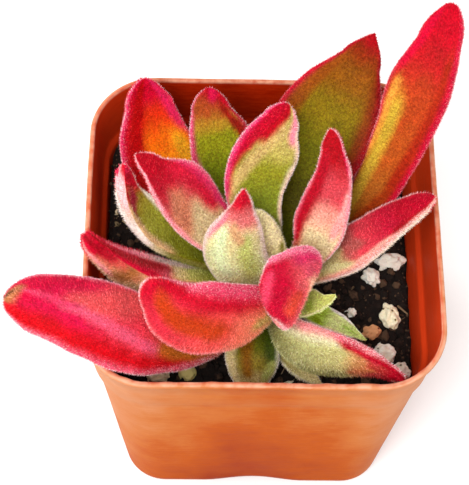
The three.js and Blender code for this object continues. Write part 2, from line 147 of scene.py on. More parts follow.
def ring_shell(name, rings):
    """A smooth skin over rings of points with equal counts, each end closed by a fan."""
    data = bpy.data.meshes.new(name)
    count = len(rings[0])
    points = [p for ring in rings for p in ring]
    faces = []
    for start in range(0, (len(rings) - 1) * count, count):
        for k in range(count):
            after = (k + 1) % count
            faces.append((start + k, start + after, start + count + after, start + count + k))
    for ring, flip in ((0, True), (len(rings) - 1, False)):
        hub = len(points)
        points.append(tuple(sum(p[j] for p in rings[ring]) / count for j in range(3)))
        for k in range(count):
            a, b = ring * count + k, ring * count + (k + 1) % count
            faces.append((hub, b, a) if flip else (hub, a, b))
    data.from_pydata([tuple(x * MM for x in p) for p in points], [], faces)
    data.polygons.foreach_set("use_smooth", [True] * len(faces))
    data.update()
    return data


def mark_points(data, kind, field, **marks):
    """Keeps named values on a mesh, one for each of its points."""
    for name, values in marks.items():
        layer = data.attributes.new(name, kind, "POINT")
        layer.data.foreach_set(field, np.array(values, np.float32).ravel())


def add_piece(name, data, *materials):
    piece = bpy.data.objects.new(name, data)
    bpy.context.scene.collection.objects.link(piece)
    for material in materials:
        data.materials.append(material)
    return piece


def plain_copy(piece):
    """A mesh of what a piece's modifiers make of it."""
    depsgraph = bpy.context.evaluated_depsgraph_get()
    return bpy.data.meshes.new_from_object(piece.evaluated_get(depsgraph))


def pot_profile():
    """The pot's section from the centre of its underside, out, up, over the lip and down inside.

    Each row is a ring's width, the radius of its corners and its height.
    """
    collar, cavity = RIM_WIDTH - 2 * LIP_OUT, BODY_TOP_WIDTH - 2 * WALL
    spread = (0.12, 0.3, 0.5, 0.66, 0.78, 0.88, 0.94)
    profile = [(BASE_WIDTH * share, BASE_CORNER * share, 0.0) for share in spread]
    profile.append((BASE_WIDTH - 0.9, BASE_CORNER - 0.7, 0.12))
    profile.append((BASE_WIDTH - 0.35, BASE_CORNER - 0.3, 0.4))
    outer_heights = (0.9, 2, 5, 12, 20, 28, 36, 41, LEDGE - 1.1)
    profile += [(body_width(z) + 0.02, body_corner(z), z) for z in outer_heights]
    # a width and a height to start from, and how much wider, rounder and higher each ring is
    for width, height, steps in (
        (BODY_TOP_WIDTH, LEDGE, [(0.25, -1.5, -0.7)]),
        (collar, LEDGE, [(-1.9, -1.3, -0.15), (-1.6, -1.2, 0.25), (-1.0, -0.9, 4)]),
        (collar, LIP_FOOT, [(0, -0.5, -0.15), (0.35, -0.3, 0)]),
        (RIM_WIDTH, PARTING_LINE, [(-0.2, -0.1, 0)]),
        (RIM_WIDTH, LIP_FOOT, [(0, 0, 0.25)]),
        (RIM_WIDTH, RIM_HEIGHT, [(0, 0, -0.35), (-0.2, -0.1, -0.08), (-0.5, -0.25, 0)]),
        (RIM_WIDTH, RIM_HEIGHT, [(-1.3, -0.7, 0), (-1.6, -0.85, -0.15), (-1.8, -0.95, -0.5)]),
        (collar, RIM_HEIGHT, [(-1.9, -1.5, -4)]),
        (collar, LEDGE, [(-2.5, -1.8, 1.1), (-2.7, -1.9, 0.6), (-3.1, -2.1, 0.35)]),
        (cavity, LEDGE, [(0.3, -2.4, 0.1), (0, -2.5, -0.3)]),
    ):
        for wider, rounder, higher in steps:
            profile.append((width + wider, RIM_CORNER + rounder, height + higher))
    profile += [(body_width(z) - 2 * WALL, body_corner(z) - WALL, z) for z in (40, 34, 24, 12, 4)]
    floor_width, floor_corner = body_width(FLOOR) - 2 * WALL, BASE_CORNER - WALL
    for share in (1, 0.9, 0.8, 0.66, 0.5, 0.3, 0.12):
        profile.append((floor_width * share, floor_corner * share, FLOOR))
    return profile


def pot_mesh():
    rings = []
    for width, corner, z in pot_profile():
        ring = []
        for x, y in round_square(width, corner, CORNER_STEPS, SIDE_STEPS):
            lift = arch_lift(x, y, body_width(z) / 2) * smooth(12, 1, z)
            # the long sides bow a little, as thin moulded walls do
            bow = BOW * math.sin(math.pi * clamp(z / RIM_HEIGHT)) * smooth(18, 0, abs(x))
            wave = noise.noise(Vector((x * 0.12, y * 0.12, z * 0.05))) * RIPPLE * smooth(4, 14, z)
            flash = 0.0
            if abs(z - PARTING_LINE) < 0.1:
                ragged = noise.noise(Vector((x * 1.1, y * 1.1, 3.0)))
                deep, sharp = (FLASH, 2.2) if y < -20 else (FLASH_BEHIND, 2)
                flash = -deep * clamp(ragged * sharp)
            if z > RIM_HEIGHT - 0.2 and width < RIM_WIDTH - 1:
                ragged = noise.noise(Vector((x * 0.9, y * 0.9, 5.0)))
                flash = (BURR if y < 0 else BURR_BEHIND) * clamp(ragged * 2.5 + 0.3)
            stretch = 1 + (wave - bow) / (math.hypot(x, y) or 1.0)
            ring.append((x * stretch, y * stretch, z + lift + flash))
        rings.append(ring)
    return ring_shell("pot_skin", rings)


def meshed(shape, name):
    """A bmesh as a new plain mesh."""
    data = bpy.data.meshes.new(name)
    shape.to_mesh(data)
    shape.free()
    return data


def drill(piece, places):
    """Takes a round hole out of the piece at each place and leaves it a plain mesh again."""
    for x, y in places:
        shape = bmesh.new()
        radius, depth = DRAIN_RADIUS * MM, DRILL_LENGTH * MM
        bmesh.ops.create_cone(
            shape, cap_ends=True, segments=32, radius1=radius, radius2=radius, depth=depth)
        bmesh.ops.translate(shape, verts=shape.verts, vec=Vector((x, y, 0)) * MM)
        cut = piece.modifiers.new("drain", "BOOLEAN")
        cut.operation = "DIFFERENCE"
        cut.solver = "EXACT"
        cut.object = add_piece("drain", meshed(shape, "drain"))
    cutters = [cut.object for cut in piece.modifiers]
    shape = plain_copy(piece)
    piece.modifiers.clear()
    piece.data = shape
    for cutter in cutters:
        bpy.data.objects.remove(cutter)


class Nodes:
    """Adds nodes to a material's or a geometry's tree and joins them."""

    def __init__(self, tree):
        self.tree = tree

    def feed(self, node, inputs):
        """Joins a node's sockets to the outputs given, or sets them to the values given."""
        for key, value in inputs.items():
            socket = node.inputs[key]
            if isinstance(value, bpy.types.NodeSocket):
                self.tree.links.new(value, socket)
            else:
                socket.default_value = value

    def add(self, kind, inputs=None, **settings):
        node = self.tree.nodes.new(kind)
        for name, value in settings.items():
            setattr(node, name, value)
        self.feed(node, inputs or {})
        return node

    def out(self, kind, inputs=None, output=0, **settings):
        """What a new node gives out."""
        return self.add(kind, inputs, **settings).outputs[output]

    def place(self):
        return self.out("ShaderNodeTexCoord", output="Object")

    def mark(self, name, output="Fac"):
        """A value kept on the points of the mesh."""
        return self.out("ShaderNodeAttribute", output=output, attribute_name=name)

    def math(self, operation, *values, **settings):
        inputs = dict(enumerate(values))
        return self.out("ShaderNodeMath", inputs, operation=operation, **settings)

    def vectors(self, operation, inputs):
        return self.out("ShaderNodeVectorMath", inputs, operation=operation)

    def remap(self, value, from_low, from_high, to_low=0.0, to_high=1.0):
        limits = {"From Min": from_low, "From Max": from_high, "To Min": to_low, "To Max": to_high}
        return self.out("ShaderNodeMapRange", {"Value": value, **limits}, "Result")

    def blend(self, share, first, second, kind="RGBA"):
        inputs = {"Factor": share, "A": first, "B": second}
        return self.out("ShaderNodeMix", inputs, "Result", data_type=kind)

    def cloud(self, where, scale, detail=4.0, roughness=0.55):
        """Noise in Object coordinates, its scale in features per millimetre."""
        inputs = {"Vector": where, "Scale": scale / MM, "Detail": detail, "Roughness": roughness}
        return self.out("ShaderNodeTexNoise", inputs, "Fac")

    def cells(self, where, scale):
        """How far a place is from the nearest of many scattered points, so many a millimetre."""
        inputs = {"Vector": where, "Scale": scale / MM, "Randomness": 1.0}
        return self.out("ShaderNodeTexVoronoi", inputs, "Distance")

    def ramp(self, factor, *stops):
        """A colour ramp of (place, colour) stops."""
        node = self.add("ShaderNodeValToRGB", {"Fac": factor})
        elements = node.color_ramp.elements
        while len(elements) < len(stops):
            elements.new(0.5)
        for element, (place, colour) in zip(elements, stops):
            element.position = place
            element.color = (*colour, 1.0)
        return node.outputs["Color"]

    def bump(self, height, strength, distance, **normal):
        inputs = {"Height": height, "Strength": strength, "Distance": distance * MM, **normal}
        return self.out("ShaderNodeBump", inputs, "Normal")

    def store(self, geometry, name, value, domain):
        inputs = {"Geometry": geometry, "Name": name, "Value": value}
        return self.out(
            "GeometryNodeStoreNamedAttribute", inputs, data_type="FLOAT", domain=domain)

    def chance(self, low, high, seed):
        """A random number for each bit, or three of them where low and high are threes."""
        kind, output = ("FLOAT_VECTOR", 0) if isinstance(low, tuple) else ("FLOAT", 1)
        inputs = {"Min": low, "Max": high, "Seed": seed}
        return self.out("FunctionNodeRandomValue", inputs, output, data_type=kind)


def new_material(name):
    """A material with an empty tree, its shader and its output."""
    material = bpy.data.materials.new(name)
    material.use_nodes = True
    material.node_tree.nodes.clear()
    nodes = Nodes(material.node_tree)
    shader = nodes.add("ShaderNodeBsdfPrincipled")
    nodes.add("ShaderNodeOutputMaterial", {"Surface": shader.outputs["BSDF"]})
    return material, nodes, shader


def shade_and_highlight_marks(data):
    """Marks how far each pot point is inside the walls, for painted shade, and its painted rim
    highlight.
    """
    inside, edge = [], []
    for vertex, normal in zip(data.vertices, data.vertex_normals):
        x, y, z = vertex.co / MM
        out = (normal.vector.x * x + normal.vector.y * y) / (math.hypot(x, y) or 1.0)
        at_rim = smooth(RIM_HEIGHT - 0.5, RIM_HEIGHT - 0.1, z)
        faces_up = smooth(0.9, 1.0, normal.vector.z)
        # painted shade: the inner walls take the darker inside red, and the flat top of the rim
        # part of it
        inside.append(max(smooth(0.1, -0.3, out) * smooth(1.6, 3.0, z), 0.6 * at_rim * faces_up))
        # painted highlight along the rounded edges of the rim, less on its flat top
        edge.append(at_rim * (1.0 - 0.75 * faces_up))
    mark_points(data, "FLOAT", "value", inside=inside, edge=edge)


def terracotta_plastic():
    """Cloudy, streaked orange, paler high up and at the corners as painted sheen, red inside as
    painted shade with painted light on the side walls there, and a painted highlight at the rim.
    """
    material, nodes, shader = new_material("terracotta_plastic")
    place = nodes.place()
    flow = nodes.out("ShaderNodeMapping", {"Vector": place, "Scale": (0.35, 0.35, 2.2)})
    clouds = nodes.cloud(place, 0.11, 4.0, 0.6)
    streaks = nodes.cloud(flow, 0.8, 6.0, 0.65)
    parts = nodes.add("ShaderNodeSeparateXYZ", {0: place}).outputs
    beside, behind = (nodes.math("ABSOLUTE", parts[axis]) for axis in ("X", "Y"))
    off_middle = nodes.math("MINIMUM", beside, behind)
    # painted sheen: paler towards the corners and higher up; the clouds and streaks are the
    # plastic's own
    painted_sheen_and_cloud = nodes.remap(off_middle, 4 * MM, 22 * MM, 0, 0.34)
    for part in (
        nodes.remap(parts["Z"], 2 * MM, 44 * MM, 0, 0.36),
        nodes.remap(clouds, 0.3, 0.7, -0.02, 0.2),
        nodes.remap(streaks, 0.3, 0.7, -0.05, 0.1),
    ):
        painted_sheen_and_cloud = nodes.math("ADD", painted_sheen_and_cloud, part)
    outer = nodes.ramp(
        painted_sheen_and_cloud, (0.05, (0.25, 0.02, 0.0)), (0.4, (0.40, 0.07, 0.0)),
        (0.6, (0.46, 0.13, 0.025)), (0.95, (0.53, 0.23, 0.11)))
    # painted shade: inside, the same plastic is a darker, deeper red
    inner = nodes.ramp(streaks, (0.3, (0.28, 0.008, 0.0)), (0.7, (0.44, 0.026, 0.003)))
    # painted light: a paler red on the side walls inside
    painted_wall_light = nodes.remap(beside, 21 * MM, 26 * MM, 0, 0.7)
    inner = nodes.blend(painted_wall_light, inner, (0.62, 0.05, 0.01, 1.0))
    colour = nodes.blend(nodes.mark("inside"), outer, inner)
    # painted highlight along the edges of the rim, broken up by noise
    ragged = nodes.remap(nodes.cloud(place, 0.5, 3.0), 0.35, 0.6, 0.3, 1)
    painted_rim_highlight = nodes.math("MULTIPLY", nodes.mark("edge"), ragged)
    first = nodes.bump(streaks, 0.25, 0.12)
    nodes.feed(shader, {
        "Base Color": nodes.blend(painted_rim_highlight, colour, (0.68, 0.33, 0.21, 1.0)),
        "Roughness": nodes.remap(streaks, 0.3, 0.7, 0.36, 0.5),
        "Normal": nodes.bump(nodes.cloud(place, 3.5, 3.0), 0.12, 0.03, Normal=first),
        "IOR": 1.07,
    })
    return material


pot = add_piece("pot_shell", pot_mesh())
offsets = (-DRAIN_OFFSET, DRAIN_OFFSET)
drill(pot, [(x, y) for x in offsets for y in offsets])
shade_and_highlight_marks(pot.data)
pot.data.materials.clear()
pot.data.materials.append(terracotta_plastic())
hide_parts("pot")
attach(pot, "root")

# Potting mix: dark peat and fine bark, pressed into the pot by hand to a rough top that is higher
# on the left and heaped along the left wall. Loose crumbs of many sizes lie on it, dust at its
# edge, a few pale dry fibres, and bits of dry moss by the left wall.
MIX_GAP = 0.3
MIX_LEVEL, HEAP, HEAP_FOOT, HEAP_TOP = 40.2, 1.3, -15, -23
MIX_BRIM, MIX_EDGE, MIX_FOOT = 36, 41, FLOOR + 2.6
MIX_RINGS, MIX_RING_STEP = 35, 0.028
CRUMBS_REACH, CRUMBS_CORNER, DUST_FROM = 23.9, 42, 23.2
LOOKS_UP = 0.3
STEM_FOOT, STEM_HEAD = (1.6, -6.2), (1.2, -8.2)
STEM_SOIL, STEM_TOP = 39.5, 54.8
STEM_RADII = (2.8, 1.7)


def mix_height(x, y):
    slope = MIX_LEVEL - 0.11 * x + 0.02 * y
    slope += HEAP * smooth(HEAP_FOOT, HEAP_TOP, x)
    waves = 0.45 * math.sin(0.9 * x + 0.6) * math.cos(0.8 * y)
    return slope + waves + 0.4 * math.sin(1.7 * x - 1.3 * y)


def mix_mesh():
    fill = body_width(FLOOR) - 2 * WALL - 2 * MIX_GAP
    brim = body_width(MIX_BRIM) - 2 * WALL - 2 * MIX_GAP - 0.3
    foot_corner, corner = BASE_CORNER - WALL - MIX_GAP, body_corner(MIX_BRIM) - WALL - MIX_GAP
    rings = []
    for width, bend, z in (
        (fill * 0.5, 3.0, MIX_FOOT), (fill, foot_corner, MIX_FOOT), (brim, corner, MIX_BRIM - 0.5),
    ):
        rings.append([(x, y, z) for x, y in round_square(width, bend, 8, 14)])
    outline = round_square(body_width(MIX_EDGE) - 2 * WALL - 0.5, corner + 0.6, 8, 14)
    for share in [1 - MIX_RING_STEP * i for i in range(MIX_RINGS)]:
        ring = []
        for x, y in outline:
            px, py = x * share, y * share
            rough = noise.fractal(Vector((px * 0.55, py * 0.55, 2.0)), 0.8, 2.1, 5) * 0.75
            ring.append((px, py, mix_height(px, py) + rough - (0.7 if share == 1 else 0.15)))
        rings.append(ring)
    return ring_shell("potting_mix_block", rings)


def mix_material(name, dark, middle, pale):
    material, nodes, shader = new_material(name)
    place = nodes.place()
    both = nodes.math("ADD", nodes.cloud(place, 0.9, 6.0, 0.65), nodes.mark("shade"))
    nodes.feed(shader, {
        "Base Color": nodes.ramp(both, (0.35, dark), (0.85, middle), (0.96, pale)),
        "Normal": nodes.bump(nodes.cloud(place, 5.0, 4.0, 0.7), 0.8, 0.2),
        "Roughness": 0.95, "Specular IOR Level": 0.25,
    })
    return material


def growth_tree(name, *labels):
    """A tree of geometry nodes that takes a surface, the numbers named and a seed."""
    tree = bpy.data.node_groups.new(name, "GeometryNodeTree")
    sockets = [("Geometry", "Geometry"), *((label, "Float") for label in labels), ("Seed", "Int")]
    for label, kind in sockets:
        tree.interface.new_socket(label, in_out="INPUT", socket_type="NodeSocket" + kind)
    tree.interface.new_socket("Geometry", in_out="OUTPUT", socket_type="NodeSocketGeometry")
    nodes = Nodes(tree)
    return nodes, nodes.add("NodeGroupInput").outputs


def drop_points(nodes, given, density):
    inputs = {"Mesh": given["Geometry"], "Density": density, "Seed": given["Seed"]}
    return nodes.add("GeometryNodeDistributePointsOnFaces", inputs).outputs


def grow_bits(nodes, bits, label, value, material):
    """Puts a bit on each point, keeps a value on it, and gives them all out as one mesh."""
    laid = nodes.out("GeometryNodeInstanceOnPoints", bits)
    marked = nodes.store(laid, label, value, "INSTANCE")
    real = nodes.out("GeometryNodeRealizeInstances", {"Geometry": marked})
    painted = nodes.out("GeometryNodeSetMaterial", {"Geometry": real, "Material": material})
    nodes.add("NodeGroupOutput", {"Geometry": painted})
    return nodes.tree


def scatter_tree(name, make_bit, material):
    """Loose bits dropped on a surface, many small and few large, turned every way."""
    nodes, given = growth_tree(name, "Density", "Smallest", "Largest", "Flatness")
    points = drop_points(nodes, given, given["Density"])["Points"]
    skewed = nodes.math("POWER", nodes.chance(0.0, 1.0, 3), 2.6)
    length = nodes.remap(skewed, 0, 1, given["Smallest"], given["Largest"])
    narrow = nodes.math("MULTIPLY", length, given["Flatness"])
    bits = {
        "Points": points, "Instance": make_bit(nodes),
        "Rotation": nodes.chance((0.0,) * 3, (6.28,) * 3, 7),
        "Scale": nodes.out("ShaderNodeCombineXYZ", {"X": length, "Y": narrow, "Z": narrow}),
    }
    shade = nodes.math("POWER", nodes.chance(0.0, 1.0, 11), 3.0)
    return grow_bits(nodes, bits, "shade", shade, material)


def grown(name, ground, tree, **values):
    """What a tree grows on a mesh, as a new plain mesh."""
    bearer = add_piece(name + "_bearer", ground.copy())
    modifier = bearer.modifiers.new("growth", "NODES")
    modifier.node_group = tree
    for item in tree.interface.items_tree:
        if item.item_type == "SOCKET" and item.in_out == "INPUT" and item.name in values:
            modifier[item.identifier] = values[item.name]
    bpy.context.view_layer.update()
    shape = plain_copy(bearer)
    shape.name = name
    bpy.data.objects.remove(bearer)
    return shape


def crumb(nodes):
    ball = nodes.out("GeometryNodeMeshIcoSphere", {"Radius": 0.5 * MM, "Subdivisions": 1}, "Mesh")
    knock = nodes.chance((-0.14 * MM,) * 3, (0.14 * MM,) * 3, 5)
    return nodes.out("GeometryNodeSetPosition", {"Geometry": ball, "Offset": knock})


def splinter(nodes):
    sides = {"Vertices": 5, "Side Segments": 2, "Fill Segments": 1}
    sizes = {"Radius Top": 0.06 * MM, "Radius Bottom": 0.11 * MM, "Depth": 1.6 * MM}
    return nodes.out("GeometryNodeMeshCone", {**sides, **sizes}, "Mesh")


def top_faces(data, wanted):
    """A copy of a mesh that keeps only faces that look up and whose centre passes a test."""
    shape = bmesh.new()
    shape.from_mesh(data)
    lost = []
    for face in shape.faces:
        x, y, _ = face.calc_center_median() / MM
        if face.normal.z <= LOOKS_UP or not wanted(x, y):
            lost.append(face)
    bmesh.ops.delete(shape, geom=lost, context="FACES")
    return meshed(shape, data.name + "_part")


peat = mix_material("peat", (0.006, 0.004, 0.003), (0.022, 0.012, 0.008), (0.09, 0.05, 0.028))
dry_fibre = mix_material("dry_fibre", (0.10, 0.06, 0.03), (0.30, 0.20, 0.11), (0.55, 0.42, 0.26))
dry_moss = mix_material("dry_moss", (0.12, 0.08, 0.035), (0.44, 0.33, 0.17), (0.78, 0.66, 0.42))
mix_block = add_piece("potting_mix_block", mix_mesh(), peat)
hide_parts("potting_mix")
mix_top = top_faces(
    mix_block.data,
    lambda x, y: max(abs(x), abs(y)) < CRUMBS_REACH and abs(x) + abs(y) < CRUMBS_CORNER)
mix_edge = top_faces(mix_block.data, lambda x, y: max(abs(x), abs(y)) > DUST_FROM)
moss_patch = top_faces(mix_block.data, lambda x, y: -24.6 < x < -20 and 4 < y < 18)
crumb_tree = scatter_tree("loose_crumbs", crumb, peat)
splinter_tree = scatter_tree("dry_fibres", splinter, dry_fibre)
moss_tree = scatter_tree("moss_bits", crumb, dry_moss)
mix_pieces = [mix_block]
# each kind of bit: how many lie on a square millimetre, its smallest and largest size, how flat it
# is, and its seed
for name, ground, tree, many, smallest, largest, flatness, seed in (
    ("potting_mix_crumbs", mix_top, crumb_tree, 1.1, 0.35, 2.4, 0.75, 4),
    ("potting_mix_dust", mix_edge, crumb_tree, 2.0, 0.3, 0.8, 0.75, 6),
    ("potting_mix_fibres", mix_top, splinter_tree, 0.05, 0.6, 2.2, 0.8, 9),
    ("potting_mix_moss", moss_patch, moss_tree, 2.6, 0.5, 1.2, 0.4, 2),
):
    mix_pieces.append(add_piece(name, grown(
        name, ground, tree, Density=many / (MM * MM), Smallest=smallest, Largest=largest,
        Flatness=flatness, Seed=seed)))
for piece in mix_pieces:
    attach(piece, "root")

# Grains: knobbly lumps of white perlite, a bark chip and two pebbles that lie half sunk in the mix.
# Perlite is volcanic glass puffed by heat, so it is full of small pits.
GRAINS = {
    "perlite_pair_left": ((20.3, -15.2), (2.4, 1.9, 1.6), 20, "white"),
    "perlite_pair_right": ((22.9, -18.3), (1.7, 1.9, 1.5), -20, "grey"),
    "perlite_back": ((22.3, 2.2), (2.5, 1.6, 1.4), 15, "white"),
    "perlite_back_small": ((18.8, -1.0), (1.4, 1.6, 1.3), 40, "white"),
    "perlite_yellow": ((21.8, -8.2), (1.6, 2.2, 1.4), 10, "yellow"),
    "perlite_small": ((15.2, -8.0), (1.0, 0.9, 0.9), 0, "white"),
    "bark_chip": ((18.4, -11.6), (1.7, 1.2, 1.0), 30, "bark"),
    "pebble_left": ((-16.6, -21.2), (2.0, 1.1, 1.1), 5, "tan"),
    "pebble_round": ((-11.9, -20.2), (1.5, 1.5, 1.5), 0, "olive"),
    "perlite_front": ((4.6, -21.6), (1.2, 1.0, 0.9), 0, "yellow"),
}
GRAIN_COLOURS = {
    "white": ((0.07, 0.045, 0.02), (0.88, 0.81, 0.60), (0.99, 0.96, 0.82)),
    "grey": ((0.06, 0.04, 0.02), (0.74, 0.70, 0.52), (0.94, 0.91, 0.76)),
    "yellow": ((0.07, 0.045, 0.015), (0.78, 0.68, 0.36), (0.93, 0.87, 0.62)),
    "bark": ((0.09, 0.03, 0.012), (0.42, 0.16, 0.06), (0.66, 0.32, 0.14)),
    "tan": ((0.14, 0.08, 0.03), (0.62, 0.42, 0.20), (0.84, 0.68, 0.42)),
    "olive": ((0.10, 0.08, 0.02), (0.50, 0.42, 0.10), (0.72, 0.62, 0.22)),
}
KNOBS, LUMPS, PITS = 0.22, 0.16, 0.11
SUNK = 0.25


def grain_mesh(name, at, size, turn, finish):
    shape = bmesh.new()
    bmesh.ops.create_icosphere(shape, subdivisions=5, radius=1.0)
    round_grain, smooth_grain = finish == "olive", finish in ("olive", "tan")
    for vert in shape.verts:
        p = vert.co.copy()
        knobs = KNOBS * math.sin(5.1 * p.x + at[0]) * math.sin(4.3 * p.y + at[1])
        knobs *= math.sin(4.7 * p.z + 1) * (0.3 if round_grain else 1.0)
        lumps = noise.noise(p * 2.2 + Vector((at[0], at[1], 0))) * (0.05 if round_grain else LUMPS)
        deep = max(0.0, noise.noise(p * 5.5 + Vector((at[1], at[0], 4))) - 0.12)
        pits = 0.0 if smooth_grain else PITS * deep
        vert.co = p * (1 + knobs + lumps - 2.2 * pits)
    bmesh.ops.scale(shape, verts=shape.verts, vec=Vector(size) * MM * 0.98)
    spin = Matrix.Rotation(math.radians(turn), 3, "Z")
    bmesh.ops.rotate(shape, verts=shape.verts, matrix=spin)
    rise = mix_height(*at) + SUNK * size[2]
    bmesh.ops.translate(shape, verts=shape.verts, vec=Vector((at[0], at[1], rise)) * MM)
    for face in shape.faces:
        face.smooth = True
    return meshed(shape, name)


def grain_material(finish):
    """Pale rock, darker in its small pits as painted shade, and soiled in a few wide ones."""
    dark, middle, pale = GRAIN_COLOURS[finish]
    material, nodes, shader = new_material("grain_" + finish)
    place = nodes.place()
    stain = nodes.cloud(place, 0.45, 5.0, 0.6)
    # painted shade: darker in the small pits
    pits = nodes.remap(nodes.cells(place, 1.7), 0.02, 0.3, 0.45, 1)
    soiled = nodes.remap(nodes.cells(place, 0.62), 0.08, 0.2)
    shade = nodes.math("MULTIPLY", nodes.math("MULTIPLY", stain, pits), soiled)
    first = nodes.bump(pits, 0.5, 0.22)
    nodes.feed(shader, {
        "Base Color": nodes.ramp(shade, (0.04, dark), (0.2, middle), (0.45, pale)),
        "Normal": nodes.bump(nodes.cloud(place, 4.5, 5.0, 0.7), 0.5, 0.1, Normal=first),
        "Roughness": 0.8, "Subsurface Weight": 0.25,
        "Subsurface Radius": (0.6, 0.5, 0.4), "Subsurface Scale": 0.6 * MM,
    })
    return material


grain_finishes = {finish: grain_material(finish) for finish in GRAIN_COLOURS}
for name, (at, size, turn, finish) in GRAINS.items():
    shape = grain_mesh(name, at, size, turn, finish)
    grain = add_piece(name + "_grain", shape, grain_finishes[finish])
    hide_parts(name)
    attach(grain, "root")

# Stem: a short fleshy green stalk, its foot in the mix. The leaves hide nearly all of it, so it
# keeps its solid and takes a waxy skin with the scars of old leaves.
stem_skin, nodes, shader = new_material("stem_skin")
scars = nodes.cloud(nodes.place(), 0.8, 4.0)
nodes.feed(shader, {
    "Base Color": nodes.ramp(
        scars, (0.35, (0.16, 0.20, 0.05)), (0.55, (0.30, 0.36, 0.10)), (0.7, (0.42, 0.36, 0.16))),
    "Normal": nodes.bump(scars, 0.4, 0.2), "Roughness": 0.55,
})
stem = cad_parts["stem"]
stem.data.materials.clear()
stem.data.materials.append(stem_skin)

# Leaves: thick, water-filled blades that grow from the stem one by one, plump below and flatter
# above, green to cream at the foot and flushed red at the edges and tip. Each stands just clear of
# the stem.
WIDTH_PLACES = [0, 0.2, 0.4, 0.6, 0.75, 0.88]
BLADE_RINGS, BLADE_SIDES, SPINE_STEPS = 72, 48, 200
LAST_RING, TIP_CURVE = 0.9985, 1.6
UPPER_SHARE, LOWER_SHARE, SKIN_DEPTH = 0.38, 0.62, 0.3
DEEP_PAINT, PALE_PAINT = 0.76, 0.9
BREADTH = 0.28
UPPER, UNDER = "upper", "under"
